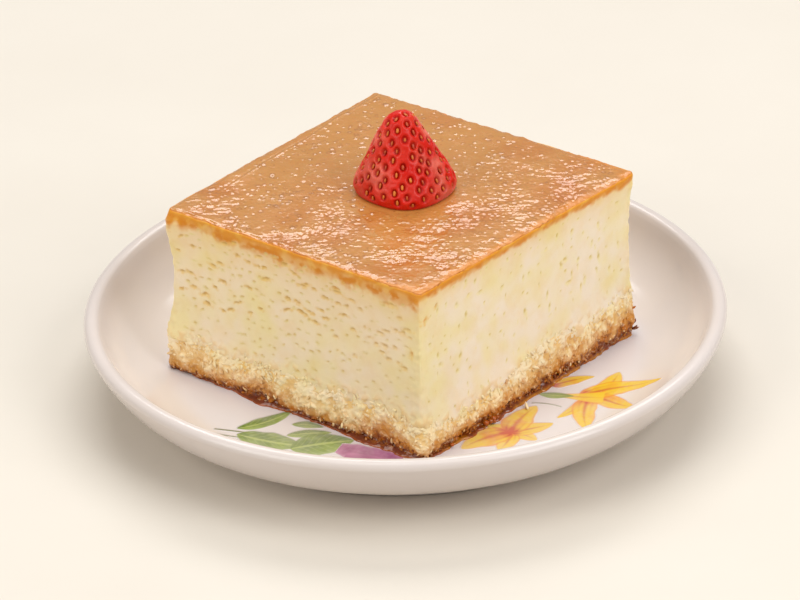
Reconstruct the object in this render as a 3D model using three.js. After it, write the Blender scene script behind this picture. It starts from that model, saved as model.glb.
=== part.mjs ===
// Caramel cheesecake: a square slab of baked custard on a shredded-coconut base, with a
// caramel skin, a strawberry on top, standing in its own caramel on a dessert plate.
// Millimetres, +Z up. Origin: on the plate's axis, at the level of its foot.
import * as THREE from "three";

// ---- driving dimensions -------------------------------------------------------------

const GAP = 0.3; // kept between pieces that touch

// Plate, turned about Z.
const PLATE = {
  rimRadius: 79, // widest, at rimHeight
  rimHeight: 19,
  lipTop: 21,
  lipInnerRadius: 75,
  lipInnerHeight: 20,
  lipShares: [[0.1, 0.65], [0.35, 0.95], [0.6, 1]], // of its width and rise, from the rim inward
  wellRadius: 57, // flat part of the well
  wellHeight: 7,
  underHeight: 3.6, // underside, inside the foot
  footInnerRadius: 53.5,
  footOuterRadius: 58.6,
  footRounding: 0.55,
  wallOutsideRadii: [61, 66, 70, 73.5, 76.2, 78], // places of the profile's points
  wallInsideRadii: [73.2, 70.5, 67, 62.5],
  segments: 72,
};

// Slab: four corners at its base and at its top, anticlockwise from the one at -X -Y.
// It was cut by hand, so no two sides are quite equal.
const SLAB = {
  baseHeight: PLATE.wellHeight + GAP,
  topHeight: 51.5,
  baseCorners: [[-41.8, -41.2], [37.5, -39.3], [39.8, 40.3], [-41.6, 39.9]],
  topCorners: [[-39.9, -40.4], [37.3, -38.6], [39.3, 41.6], [-40.8, 39.3]],
  cornerRadius: 1.3,
  sideBow: 0.9, // how far the custard's sides sink in, halfway up
};

// Layers, from the plate up. A list of lists holds a size at even steps along each side.
const CREEP = [ // how far the caramel has run out past the slab
  [0.1, 0.2, 0.9, 2.0, 1.1, 1.2, 1.7, 1.8, 0.9],
  [0.9, 1.7, 2.2, 1.4, 1.8, 1.6, 0.8, 0.6, 0.7],
  [0.7, 0.6, 0.9, 1.2, 0.8, 0.9, 1.1, 0.7, 0.5],
  [0.5, 0.8, 1.0, 0.7, 0.6, 0.8, 0.5, 0.3, 0.1],
];
const CARAMEL = {
  thickness: 1.7,
  undercut: 0.4, // its edge is rounded: widest at widestAt, drawn in below and above that
  widestAt: 0.5,
  topInset: 0.9,
  waveHeight: 0.15, // unevenness of its edge
  waveTurn: 1.13,
  scatter: 0.15,
};
const SEAM = [ // custard's underside above the slab's base
  [10.2, 10.4, 8.7, 9.5, 10.0, 9.2, 10.1, 10.1, 8.9],
  [8.9, 6.2, 8.2, 6.8, 10.0, 11.5, 9.8, 10.9, 11.3],
  [11.3, 10.2, 9.6, 10.6, 9.9, 9.2, 10.1, 10.8, 10.5],
  [10.5, 9.8, 10.6, 9.4, 9.9, 10.8, 9.7, 10.3, 10.2],
];
const SEAM_UNEVEN = 0.35;
const SEAM_WAVE_TURN = 1.35;
const COCONUT = {
  footInset: 0.3,
  bulge: 0.9, // its side beyond the custard's, halfway up
  bulgeStart: 0.15, // the bulge follows a sine over this part of half a turn
  bulgeRun: 0.7,
  grain: 0.5, // coarseness of its cut side
  ringShares: [0.03, 0.2, 0.42, 0.64, 0.84], // of its thickness, from the bottom
};
const CAP_RING = 0.55; // share of the outline at which hidden faces have a ring of their own
const SKIN = {
  thickness: 1.3,
  overhang: 0.25,
  undersideInset: 0.35,
  rimInset: 0.45,
  rimDrop: 0.25,
};
// The skin's wrinkles, and the long fold inside its -X edge, which nears that edge at the back.
const WRINKLE = {
  height: 0.22,
  turnX: 0.62,
  turnY: 0.55,
  slant: 0.2,
  bend: 1.7,
  bendTurn: 0.31,
  backShare: 0.5, // of that height, at the back; x - y runs from back to front
  back: -20,
  front: 60,
};
const FOLD = { height: 0.18, width: 1.6, x: -37.0, slant: -0.056 };

// Pores in the custard's cut sides.
const CUSTARD_ROWS = 12;
const PORE_DEPTH = 0.7;
const PORE_SHALLOWEST = 0.6; // share of that depth
const PORE_SHARE_TOP = 0.26; // share of places with a pore, near the top
const PORE_SHARE_BOTTOM = 0.08;

// Strawberry: cut flat, standing on that face.
const BERRY = {
  centre: [0.55, 1.2],
  tipLean: [-0.45, -0.2], // tip against centre
  height: 20.5,
  outline: [ // radius, distance below the tip
    [0, 0], [2.3, 0.5], [3.8, 1.6], [5.1, 3.6], [7.0, 7.2], [8.8, 10.8],
    [10.6, 14.2], [11.9, 17.0], [12.2, 18.4], [11.8, 19.6], [10.9, 20.5],
  ],
  flattening: 0.035, // four soft edges round it
  edgeTurn: -0.86, // angle of the first soft edge, radians
  seedColumns: 12,
  seedRows: 8,
  rowsPerSeed: 3,
  columnsPerSeed: 4,
  seedlessTip: 2, // radius round the tip without dimples
  dimpleDepth: 0.45,
  flatSpot: 15, // radius of the skin that is level under it
  flatSpotFade: 6,
};

// Steps along each outline.
const ARC_STEPS = 4; // per corner
const SIDE_STEPS = 26; // per side, custard and coconut
const SKIN_SIDE_STEPS = 22;
const BASE_SIDE_STEPS = 16;

const FINISH = {
  porcelain: { color: 0xf1ece6, roughness: 0.15 },
  caramel: { color: 0x6d3a1c, roughness: 0.2 },
  coconut: { color: 0xdcbd8c, roughness: 0.85 },
  custard: { color: 0xebd6ab, roughness: 0.45 },
  skin: { color: 0xcf935f, roughness: 0.3 },
  berry: { color: 0xc6291b, roughness: 0.25 },
};

// ---- helpers ------------------------------------------------------------------------

const lerp = THREE.MathUtils.lerp;
const smooth = THREE.MathUtils.smoothstep;

// A repeatable number from 0 to 1 for a pair of counters.
function scatter(a, b) {
  const s = Math.sin(a * 127.1 + b * 311.7 + 17.3) * 43758.5453;
  return s - Math.floor(s);
}

// Radius of an arc that starts level and ends "across" further out and "up" higher.
function levelArcRadius(across, up) {
  return (across * across + up * up) / (2 * up);
}

// Height on such an arc, "across" from its level end.
function levelArcRise(radius, across) {
  return radius - Math.sqrt(radius * radius - across * across);
}

function mesh(name, geometry, finish) {
  const material = new THREE.MeshStandardMaterial({ ...finish, metalness: 0 });
  const piece = new THREE.Mesh(geometry, material);
  piece.name = name;
  return piece;
}

// Points round a rounded quadrilateral, anticlockwise from the middle of its first
// corner, each with its outward normal, its side and how far along that side it is.
function outline(corners, sideSteps) {
  const corner = corners.map(([x, y]) => new THREE.Vector2(x, y));
  const outward = corner.map((p, k) => {
    const along = corner[(k + 1) % 4].clone().sub(p).normalize();
    return new THREE.Vector2(along.y, -along.x);
  });
  const arcPoint = (k, share) => {
    const before = outward[(k + 3) % 4];
    const after = outward[k];
    const normal = before.clone().lerp(after, share).normalize();
    const centre = corner[k].clone().addScaledVector(before, -SLAB.cornerRadius);
    centre.addScaledVector(after, -SLAB.cornerRadius);
    return { point: centre.addScaledVector(normal, SLAB.cornerRadius), normal };
  };
  const points = [];
  const half = ARC_STEPS / 2;
  for (let k = 0; k < 4; k++) {
    const next = (k + 1) % 4;
    for (let i = 0; i < half; i++) {
      points.push({ ...arcPoint(k, 0.5 + i / ARC_STEPS), side: k, along: 0, onArc: true });
    }
    const start = arcPoint(k, 1).point;
    const end = arcPoint(next, 0).point;
    for (let i = 0; i < sideSteps; i++) {
      const along = i / sideSteps;
      const point = start.clone().lerp(end, along);
      points.push({ point, normal: outward[k], side: k, along, onArc: i === 0 });
    }
    for (let i = 0; i < half; i++) {
      points.push({ ...arcPoint(next, i / ARC_STEPS), side: k, along: 1, onArc: true });
    }
  }
  return points;
}

// The slab's outline at a height.
function slabOutline(z, sideSteps) {
  const share = (z - SLAB.baseHeight) / (SLAB.topHeight - SLAB.baseHeight);
  const corners = SLAB.baseCorners.map(([x, y], k) => [
    lerp(x, SLAB.topCorners[k][0], share),
    lerp(y, SLAB.topCorners[k][1], share),
  ]);
  return outline(corners, sideSteps);
}

// A point of an outline moved outward, at a height.
function placed({ point, normal }, offset, z) {
  return new THREE.Vector3(point.x + normal.x * offset, point.y + normal.y * offset, z);
}

function ringCentre(ring) {
  const sum = ring.reduce((total, p) => total.add(p), new THREE.Vector3());
  return sum.divideScalar(ring.length);
}

// A ring drawn in towards its centre.
function shrunk(ring, share) {
  const centre = ringCentre(ring);
  return ring.map((p) => centre.clone().lerp(p, share));
}

// A closed solid from rings listed from the middle of its underside, out, up and in to
// the middle of its top.
function loft(rings) {
  const count = rings[0].length;
  const first = ringCentre(rings[0]);
  const last = ringCentre(rings.at(-1));
  const points = [first, ...rings.flat(), last];
  const at = (ring, i) => 1 + ring * count + (i % count);
  const index = [];
  for (let i = 0; i < count; i++) {
    index.push(0, at(0, i + 1), at(0, i));
    for (let ring = 0; ring + 1 < rings.length; ring++) {
      index.push(at(ring, i), at(ring, i + 1), at(ring + 1, i + 1));
      index.push(at(ring, i), at(ring + 1, i + 1), at(ring + 1, i));
    }
    index.push(at(rings.length - 1, i), at(rings.length - 1, i + 1), points.length - 1);
  }
  return indexed(points, index);
}

function indexed(points, index) {
  const geometry = new THREE.BufferGeometry();
  geometry.setAttribute("position", new THREE.Float32BufferAttribute(points.flatMap((p) => p.toArray()), 3));
  geometry.setIndex(index);
  geometry.computeVertexNormals();
  return geometry;
}

// ---- plate --------------------------------------------------------------------------

function plateGeometry() {
  const profile = [];
  const add = (r, z) => profile.push(new THREE.Vector2(r, z));
  const { rimRadius, rimHeight, lipTop, lipInnerRadius, lipInnerHeight } = PLATE;
  const { wellRadius, wellHeight, underHeight } = PLATE;
  const { footInnerRadius, footOuterRadius, footRounding } = PLATE;
  add(0, underHeight);
  add(footInnerRadius - footRounding, underHeight);
  add(footInnerRadius, footRounding);
  add(footInnerRadius + footRounding, 0);
  add(footOuterRadius - footRounding, 0);
  add(footOuterRadius, footRounding);
  add(footOuterRadius + footRounding, underHeight - footRounding);
  // outside of the wall
  const outerArc = levelArcRadius(rimRadius - wellRadius, rimHeight - underHeight);
  for (const r of PLATE.wallOutsideRadii) {
    add(r, underHeight + levelArcRise(outerArc, r - wellRadius));
  }
  add(rimRadius, rimHeight);
  // rounded lip
  const lipWidth = rimRadius - lipInnerRadius;
  const lipRise = lipTop - rimHeight;
  for (const [inward, upward] of PLATE.lipShares) {
    add(rimRadius - inward * lipWidth, rimHeight + upward * lipRise);
  }
  add(lipInnerRadius, lipInnerHeight);
  // inside of the wall, down to the level well
  const innerArc = levelArcRadius(lipInnerRadius - wellRadius, lipInnerHeight - wellHeight);
  for (const r of PLATE.wallInsideRadii) {
    add(r, wellHeight + levelArcRise(innerArc, r - wellRadius));
  }
  add(wellRadius, wellHeight);
  add(0, wellHeight);
  return new THREE.LatheGeometry(profile, PLATE.segments);
}

function plate() {
  const piece = mesh("plate", plateGeometry(), FINISH.porcelain);
  piece.rotation.x = Math.PI / 2; // the lathe's axis is Y
  return piece;
}

// ---- slab ---------------------------------------------------------------------------

const skinUnderside = SLAB.topHeight - SKIN.thickness;
const caramelBaseTop = SLAB.baseHeight + CARAMEL.thickness;
const seamLevel = SLAB.baseHeight + SEAM[0][0];

// A size listed at even steps along each side, at a place on the outline.
function listed({ side, along }, lists) {
  const sizes = lists[side];
  const step = Math.min(along * (sizes.length - 1), sizes.length - 1.001);
  const before = Math.floor(step);
  return lerp(sizes[before], sizes[before + 1], step - before);
}

// Height of the seam between coconut and custard at a place on the outline.
function seamHeight(place, i) {
  const uneven = Math.sin(i * SEAM_WAVE_TURN + 1) + scatter(i, 5) - 0.5;
  return SLAB.baseHeight + listed(place, SEAM) + SEAM_UNEVEN * uneven;
}

// The custard's side at a height, against a straight line from top to base.
function custardOffset(z) {
  const share = Math.min(1, (SLAB.topHeight - z) / (SLAB.topHeight - seamLevel));
  return -SLAB.sideBow * Math.sin(Math.PI * share);
}

// The custard's lowest ring: the coconut under it has the same points, a gap lower.
function seamRing(lift) {
  return slabOutline(seamLevel, SIDE_STEPS).map((place, i) => {
    const z = seamHeight(place, i);
    return placed(place, custardOffset(z), z + lift);
  });
}

function poreDepth(place, i, row, share) {
  if (place.onArc) return 0;
  const chance = lerp(PORE_SHARE_BOTTOM, PORE_SHARE_TOP, share);
  return scatter(i, row) < chance ? PORE_DEPTH * lerp(PORE_SHALLOWEST, 1, scatter(row, i)) : 0;
}

function custard() {
  const top = skinUnderside - GAP;
  const seam = seamRing(GAP / 2);
  const rings = [shrunk(seam, CAP_RING), seam];
  for (let row = 1; row < CUSTARD_ROWS; row++) {
    const share = row / CUSTARD_ROWS;
    rings.push(slabOutline(lerp(seamLevel, top, share), SIDE_STEPS).map((place, i) => {
      const z = lerp(seam[i].z, top, share);
      return placed(place, custardOffset(z) - poreDepth(place, i, row, share), z);
    }));
  }
  const rim = slabOutline(top, SIDE_STEPS).map((place) => placed(place, 0, top));
  rings.push(rim, shrunk(rim, CAP_RING));
  return mesh("custard", loft(rings), FINISH.custard);
}

function coconutBase() {
  const bottom = caramelBaseTop + GAP;
  const lowest = slabOutline(bottom, SIDE_STEPS);
  const foot = lowest.map((place) => placed(place, -COCONUT.footInset, bottom));
  const rings = [shrunk(foot, CAP_RING), foot];
  const seam = seamRing(-GAP / 2);
  for (const [row, share] of COCONUT.ringShares.entries()) {
    rings.push(lowest.map((place, i) => {
      const z = lerp(bottom, seam[i].z, share);
      const swell = COCONUT.bulge * Math.sin(Math.PI * (COCONUT.bulgeStart + COCONUT.bulgeRun * share));
      const grain = COCONUT.grain * (2 * scatter(i + 200, row) - 1);
      return placed(place, swell + grain, z);
    }));
  }
  rings.push(seam, shrunk(seam, CAP_RING));
  return mesh("coconut_base", loft(rings), FINISH.coconut);
}

// Dark caramel that has soaked the underside and crept out on the plate.
function caramelBase() {
  const bottom = SLAB.baseHeight;
  const places = slabOutline(bottom, BASE_SIDE_STEPS);
  const creep = places.map((place, i) => {
    const wave = CARAMEL.waveHeight * Math.sin(i * CARAMEL.waveTurn);
    return listed(place, CREEP) + wave + CARAMEL.scatter * (2 * scatter(i, 9) - 1);
  });
  const ring = (inset, z) => places.map((place, i) => placed(place, creep[i] - inset, z));
  const underside = ring(CARAMEL.undercut, bottom);
  const upperEdge = ring(CARAMEL.topInset, caramelBaseTop);
  const rings = [
    shrunk(underside, CAP_RING),
    underside,
    ring(0, bottom + CARAMEL.widestAt),
    upperEdge,
    shrunk(upperEdge, CAP_RING),
  ];
  return mesh("caramel_base", loft(rings), FINISH.caramel);
}

// Wrinkles of the baked caramel skin: none under the strawberry, deepest at the front.
function wrinkle(x, y) {
  const [cx, cy] = BERRY.centre;
  const away = smooth(Math.hypot(x - cx, y - cy), BERRY.flatSpot, BERRY.flatSpot + BERRY.flatSpotFade);
  const front = lerp(WRINKLE.backShare, 1, smooth(x - y, WRINKLE.back, WRINKLE.front));
  const bent = WRINKLE.bend * Math.sin(y * WRINKLE.bendTurn);
  const waves = Math.sin(x * WRINKLE.turnX + bent) * Math.sin(y * WRINKLE.turnY + x * WRINKLE.slant);
  const foldX = FOLD.x + FOLD.slant * y;
  const fold = Math.exp(-(((x - foldX) / FOLD.width) ** 2));
  return away * (WRINKLE.height * front * (waves - 1) + FOLD.height * fold);
}

// The skin's upper face: a grid spread between the four sides of its edge.
function skin() {
  const cells = SKIN_SIDE_STEPS + ARC_STEPS; // along each side of the grid
  const places = slabOutline(SLAB.topHeight, SKIN_SIDE_STEPS);
  const count = places.length;
  const edge = (inset, z) => places.map((place) => placed(place, SKIN.overhang - inset, z));
  const underside = edge(SKIN.undersideInset, skinUnderside);
  const middle = edge(0, skinUnderside + SKIN.thickness / 2);
  const rim = edge(SKIN.rimInset, SLAB.topHeight - SKIN.rimDrop);
  const points = [ringCentre(underside), ...underside, ...middle, ...rim];
  const index = [];
  for (let i = 0; i < count; i++) {
    const next = (i + 1) % count;
    index.push(0, 1 + next, 1 + i);
    for (const lower of [1, 1 + count]) {
      index.push(lower + i, lower + next, lower + count + next);
      index.push(lower + i, lower + count + next, lower + count + i);
    }
  }
  const rimStart = 1 + 2 * count;
  const side = (k, step) => rim[(k * cells + step) % count];
  const gridIndex = [];
  for (let row = 0; row <= cells; row++) {
    for (let column = 0; column <= cells; column++) {
      gridIndex.push(gridPoint(row, column));
    }
  }
  function gridPoint(row, column) {
    if (row === 0) return rimStart + column;
    if (column === cells) return rimStart + cells + row;
    if (row === cells) return rimStart + 3 * cells - column;
    if (column === 0) return rimStart + ((4 * cells - row) % count);
    const u = column / cells;
    const v = row / cells;
    const front = side(0, column);
    const right = side(1, row);
    const back = side(2, cells - column);
    const left = side(3, cells - row);
    const blend = (axis) => lerp(front[axis], back[axis], v) + lerp(left[axis], right[axis], u)
      - lerp(lerp(rim[0][axis], side(1, 0)[axis], u), lerp(side(3, 0)[axis], side(2, 0)[axis], u), v);
    const x = blend("x");
    const y = blend("y");
    points.push(new THREE.Vector3(x, y, SLAB.topHeight + wrinkle(x, y)));
    return points.length - 1;
  }
  const width = cells + 1;
  for (let row = 0; row < cells; row++) {
    for (let column = 0; column < cells; column++) {
      const a = row * width + column;
      const corners = [a, a + 1, a + width + 1, a + width].map((n) => gridIndex[n]);
      index.push(corners[0], corners[1], corners[2], corners[0], corners[2], corners[3]);
    }
  }
  return mesh("caramel_top", indexed(points, index), FINISH.skin);
}

// ---- strawberry ---------------------------------------------------------------------

function strawberry() {
  const base = SLAB.topHeight + GAP;
  const curve = new THREE.SplineCurve(BERRY.outline.map(([r, drop]) => new THREE.Vector2(r, drop)));
  const rows = BERRY.seedRows * BERRY.rowsPerSeed;
  const columns = BERRY.seedColumns * BERRY.columnsPerSeed;
  const rings = [];
  for (let row = 0; row < rows; row++) {
    const { x: radius, y: drop } = curve.getPointAt(1 - row / rows);
    const seedRow = row % BERRY.rowsPerSeed === 1;
    // every other row of seeds is turned half a step
    const turned = Math.floor(row / BERRY.rowsPerSeed) % 2 === 1;
    const stagger = turned ? BERRY.columnsPerSeed / 2 : 0;
    const lean = 1 - drop / BERRY.height;
    const ring = [];
    for (let i = 0; i < columns; i++) {
      const angle = (2 * Math.PI * i) / columns;
      const edge = 1 + BERRY.flattening * Math.cos(4 * (angle - BERRY.edgeTurn));
      const dimpled = seedRow && i % BERRY.columnsPerSeed === stagger && radius > BERRY.seedlessTip;
      const dent = dimpled ? BERRY.dimpleDepth : 0;
      const r = radius * edge - dent;
      ring.push(new THREE.Vector3(
        BERRY.centre[0] + BERRY.tipLean[0] * lean + r * Math.cos(angle),
        BERRY.centre[1] + BERRY.tipLean[1] * lean + r * Math.sin(angle),
        base + BERRY.height - drop,
      ));
    }
    rings.push(ring);
  }
  return mesh("strawberry", loft(rings), FINISH.berry);
}

// ---- the whole ----------------------------------------------------------------------

const cheesecake = new THREE.Group();
cheesecake.add(plate(), caramelBase(), coconutBase(), custard(), skin(), strawberry());
export default cheesecake;
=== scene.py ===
# Caramel cheesecake on its plate: the looks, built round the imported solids.
# Sizes are in millimetres and turned to metres where a mesh, lamp or camera is made.
import itertools
import math

import bpy
import numpy as np
from mathutils import Euler, Matrix, Vector
from mathutils.kdtree import KDTree


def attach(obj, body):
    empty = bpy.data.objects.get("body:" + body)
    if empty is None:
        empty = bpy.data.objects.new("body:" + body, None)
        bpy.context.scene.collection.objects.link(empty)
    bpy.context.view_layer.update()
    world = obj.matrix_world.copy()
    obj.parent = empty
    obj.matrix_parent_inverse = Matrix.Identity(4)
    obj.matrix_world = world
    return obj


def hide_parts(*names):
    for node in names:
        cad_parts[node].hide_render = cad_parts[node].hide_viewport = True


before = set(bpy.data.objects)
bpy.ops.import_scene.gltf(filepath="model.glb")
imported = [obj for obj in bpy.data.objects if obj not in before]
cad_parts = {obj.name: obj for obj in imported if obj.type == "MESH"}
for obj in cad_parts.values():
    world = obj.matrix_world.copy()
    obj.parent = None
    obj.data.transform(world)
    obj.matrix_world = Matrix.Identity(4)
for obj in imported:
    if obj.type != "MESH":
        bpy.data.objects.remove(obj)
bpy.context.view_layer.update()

MM = 0.001

# ---- sizes, as in the solids ----

WELL_Z, WELL_R = 7.0, 57.0
RIM_R, RIM_Z = 79.0, 19.0
LIP_Z, LIP_INNER_R, LIP_INNER_Z = 21.0, 75.0, 20.0
UNDER_Z = 3.6
FOOT_INNER_R, FOOT_OUTER_R = 53.5, 58.6

BASE_Z, TOP_Z = 7.3, 51.5
BASE_CORNERS = np.array([[-41.8, -41.2], [37.5, -39.3], [39.8, 40.3], [-41.6, 39.9]])
TOP_CORNERS = np.array([[-39.9, -40.4], [37.3, -38.6], [39.3, 41.6], [-40.8, 39.3]])
SIDE_LENGTH = 80  # of the slab, about
CUSTARD_HEIGHT = 33  # between the skin and the coconut, about
CORNER_RADIUS = 1.3
SIDE_BOW = 0.9
FLARE = 0.3  # how far the custard stands out again under the skin
EDGE_ROUNDING = 0.7
SKIN_THICKNESS = 1.3

# sizes at even steps along each side, from the corner at -X -Y anticlockwise
SEAM = [  # custard's underside above the slab's base
    [10.2, 10.4, 8.7, 9.5, 10.0, 9.2, 10.1, 10.1, 8.9],
    [8.9, 6.2, 8.2, 6.8, 10.0, 11.5, 9.8, 10.9, 11.3],
    [11.3, 10.2, 9.6, 10.6, 9.9, 9.2, 10.1, 10.8, 10.5],
    [10.5, 9.8, 10.6, 9.4, 9.9, 10.8, 9.7, 10.3, 10.2],
]
CREEP = [  # how far the dark caramel has run out past the slab
    [0.1, 0.2, 0.9, 2.0, 1.1, 1.2, 1.7, 1.8, 0.9],
    [0.9, 1.7, 2.2, 1.4, 1.8, 1.6, 0.8, 0.6, 0.7],
    [0.7, 0.6, 0.9, 1.2, 0.8, 0.9, 1.1, 0.7, 0.5],
    [0.5, 0.8, 1.0, 0.7, 0.6, 0.8, 0.5, 0.3, 0.1],
]
SOAK = [  # how far the dark caramel has drawn up into the coconut, above the base
    [0.9, 0.9, 1.8, 3.0, 1.6, 1.3, 1.8, 3.2, 1.8],
    [1.8, 1.5, 1.8, 2.6, 2.4, 3.4, 5.0, 4.4, 4.6],
    [4.6, 3.4, 3.0, 2.6, 3.2, 3.0, 2.4, 2.6, 2.2],
    [2.2, 2.4, 1.8, 2.0, 2.4, 1.9, 1.5, 1.3, 0.9],
]

BERRY_CENTRE = np.array([0.55, 1.2])
BERRY_LEAN = np.array([-0.45, -0.2])
BERRY_HEIGHT = 20.5
BERRY_UNSHEENED_TURN = math.radians(-52)  # the side turned this way, towards the slab's near corner, is kept free of the painted sheen
BERRY_OUTLINE = [
    (0, 0), (2.3, 0.5), (3.8, 1.6), (5.1, 3.6), (7.0, 7.2), (8.8, 10.8),
    (10.6, 14.2), (11.9, 17.0), (12.3, 18.5), (12.1, 19.7), (11.5, 20.5),
]

# the camera: distance and direction fitted to the photo
CAMERA_AT = (561.14, -659.61, 487.45)
CAMERA_TO = (0.36, -2.23, 22.23)
CAMERA_ROLL = math.radians(-2.0)
CAMERA_LENS = 180.0
VIEW_TURN = math.radians(40.5)  # the camera looks this far round from straight ahead

rng = np.random.default_rng(11)


# ---- colour and number helpers ----


def srgb(r, g, b):
    """A colour given as 0-255 screen values, as linear numbers."""
    c = np.array([r, g, b], float) / 255
    return np.where(c <= 0.04045, c / 12.92, ((c + 0.055) / 1.055) ** 2.4)


def rgba(colour):
    return (*[float(c) for c in colour], 1.0)


def smooth(low, high, x):
    t = np.clip((x - low) / (high - low), 0, 1)
    return t * t * (3 - 2 * t)


def blend(a, b, t):
    """Mixes numbers, or colours where t has one value per point."""
    a, b, t = np.asarray(a, float), np.asarray(b, float), np.asarray(t, float)
    if max(a.ndim, b.ndim) and (a.shape[-1:] == (3,) or b.shape[-1:] == (3,)):
        t = t[..., None]
    return a + (b - a) * t


def _hashed(cell, seed):
    x, y, z = (c.astype(np.int64).astype(np.uint32) for c in cell)
    h = x * np.uint32(374761393) + y * np.uint32(668265263) + z * np.uint32(2246822519)
    h = h + np.uint32(seed * 2654435761 % 4294967296)
    h = (h ^ (h >> np.uint32(13))) * np.uint32(1274126177)
    h = (h ^ (h >> np.uint32(16))) * np.uint32(2654435769)
    return ((h >> np.uint32(8)) & np.uint32(0xFFFF)).astype(float) / 0xFFFF


OFF_AXIS = np.array(Euler((0.5, 0.8, 0.3)).to_matrix())  # so that no noise lines up with a side


def noise(points, size, seed=0):
    """Smooth noise from -1 to 1 with features of about that size."""
    p = np.asarray(points, float) @ OFF_AXIS / size
    cell = np.floor(p)
    f = p - cell
    f = f * f * f * (f * (f * 6 - 15) + 10)
    total = 0.0
    for corner in itertools.product((0, 1), repeat=3):
        weight = 1.0
        for axis in range(3):
            weight = weight * (f[..., axis] if corner[axis] else 1 - f[..., axis])
        total = total + weight * _hashed([cell[..., a] + corner[a] for a in range(3)], seed)
    return total * 2 - 1


def fractal(points, size, seed=0, octaves=3, gain=0.5):
    total, weight, reach = 0.0, 1.0, 0.0
    for k in range(octaves):
        total = total + weight * noise(points, size / 2**k, seed + k)
        reach += weight
        weight *= gain
    return total / reach


# ---- mesh helpers ----


def grid_faces(rows, columns, wrap=True):
    """Quads between rings or rows of points that are stored one after another."""
    row = columns * np.arange(rows - 1)[:, None]
    here = np.arange(columns if wrap else columns - 1)[None, :]
    after = (here + 1) % columns
    quads = np.stack([row + here, row + after, row + columns + after, row + columns + here], -1)
    return quads.reshape(-1, 4).tolist()


def following(numbers):
    """For each point number in a closed row, the next one."""
    return numbers[1:] + numbers[:1]


def lofted(rings):
    """A closed skin over rings listed from underneath, up to the top: points and faces."""
    rows, columns = rings.shape[:2]
    faces = grid_faces(rows, columns)
    first = list(range(columns))
    last = list(range((rows - 1) * columns, rows * columns))
    under, over = rows * columns, rows * columns + 1
    faces += [(under, b, a) for a, b in zip(first, following(first))]
    faces += [(over, a, b) for a, b in zip(last, following(last))]
    return per_point(rings), faces


def per_point(ring_values):
    """A value for each loft point, from values for each ring point."""
    flat = ring_values.reshape(-1, *ring_values.shape[2:])
    return np.concatenate([flat, ring_values[:1].mean(1), ring_values[-1:].mean(1)])


def placed(name, data):
    """An object with that mesh, lamp or camera, put in the scene."""
    obj = bpy.data.objects.new(name, data)
    bpy.context.scene.collection.objects.link(obj)
    return obj


def meshed(name, points, faces, material):
    mesh = bpy.data.meshes.new(name)
    mesh.from_pydata((np.asarray(points) * MM).tolist(), [], faces, shade_flat=False)
    mesh.materials.append(material)
    return placed(name, mesh)


def piece(name, points, faces, material, slot, replaces=(), colour=None, **values):
    """A visible piece, with a tint and other numbers stored at its points."""
    obj = meshed(name, points, faces, material)
    attribute = obj.data.attributes.new("tint", "FLOAT_COLOR", "POINT")
    full = np.ones((len(obj.data.vertices), 4), np.float32)
    full[:, :3] = colour
    attribute.data.foreach_set("color", full.ravel())
    for key, numbers in values.items():
        attribute = obj.data.attributes.new(key, "FLOAT", "POINT")
        attribute.data.foreach_set("value", np.asarray(numbers, np.float32))
    if replaces:
        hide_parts(replaces)
    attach(obj, "root")


def lofted_piece(name, rings, material, slot, replaces, tint, **values):
    """A closed piece over rings, with its tint and other numbers given for each ring point."""
    points, faces = lofted(rings)
    values = {key: per_point(numbers) for key, numbers in values.items()}
    piece(name, points, faces, material, slot, replaces, per_point(tint), **values)


# ---- the slab's outline ----


class Outline:
    """Places round the slab, anticlockwise from the middle of the corner at -X -Y."""

    def __init__(self, side_steps, arc_steps=8):
        self.base, self.normal, self.side, self.along = self._walk(BASE_CORNERS, side_steps, arc_steps)
        self.top = self._walk(TOP_CORNERS, side_steps, arc_steps)[0]
        self.count = len(self.side)
        lengths = np.linalg.norm(np.roll(BASE_CORNERS, -1, 0) - BASE_CORNERS, axis=1)
        self.run = self.along * lengths[self.side]
        self.level = np.column_stack([self.base, np.zeros(self.count)])

    def _walk(self, corners, side_steps, arc_steps):
        along = np.roll(corners, -1, 0) - corners
        along /= np.linalg.norm(along, axis=1)[:, None]
        outward = np.stack([along[:, 1], -along[:, 0]], 1)
        rows = []

        def arc(k, share):
            before, after = outward[k - 1], outward[k]
            normal = before + (after - before) * share
            normal /= np.linalg.norm(normal)
            centre = corners[k] - CORNER_RADIUS * (before + after)
            return centre + CORNER_RADIUS * normal, normal

        half = arc_steps // 2
        for k in range(4):
            after = (k + 1) % 4
            for i in range(half):
                rows.append((*arc(k, 0.5 + i / arc_steps), k, 0.0))
            start, end = arc(k, 1)[0], arc(after, 0)[0]
            for i in range(side_steps[k]):
                t = i / side_steps[k]
                rows.append((start + (end - start) * t, outward[k], k, t))
            for i in range(half):
                rows.append((*arc(after, i / arc_steps), k, 1.0))
        points, normals, sides, shares = zip(*rows)
        return np.array(points), np.array(normals), np.array(sides), np.array(shares)

    def at(self, z, offset=0.0):
        """Points at heights z, moved outward: z and offset are single or one per place."""
        z = np.broadcast_to(np.asarray(z, float), (self.count,))
        share = ((z - BASE_Z) / (TOP_Z - BASE_Z))[:, None]
        flat = self.base + (self.top - self.base) * share
        flat = flat + self.normal * np.broadcast_to(offset, (self.count,))[:, None]
        return np.column_stack([flat, z])

    def listed(self, lists):
        """A size listed at even steps along each side, at each place."""
        sizes = np.array(lists, float)
        step = self.along * (sizes.shape[1] - 1.001)
        before = step.astype(int)
        share = step - before
        return sizes[self.side, before] * (1 - share) + sizes[self.side, before + 1] * share


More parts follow.
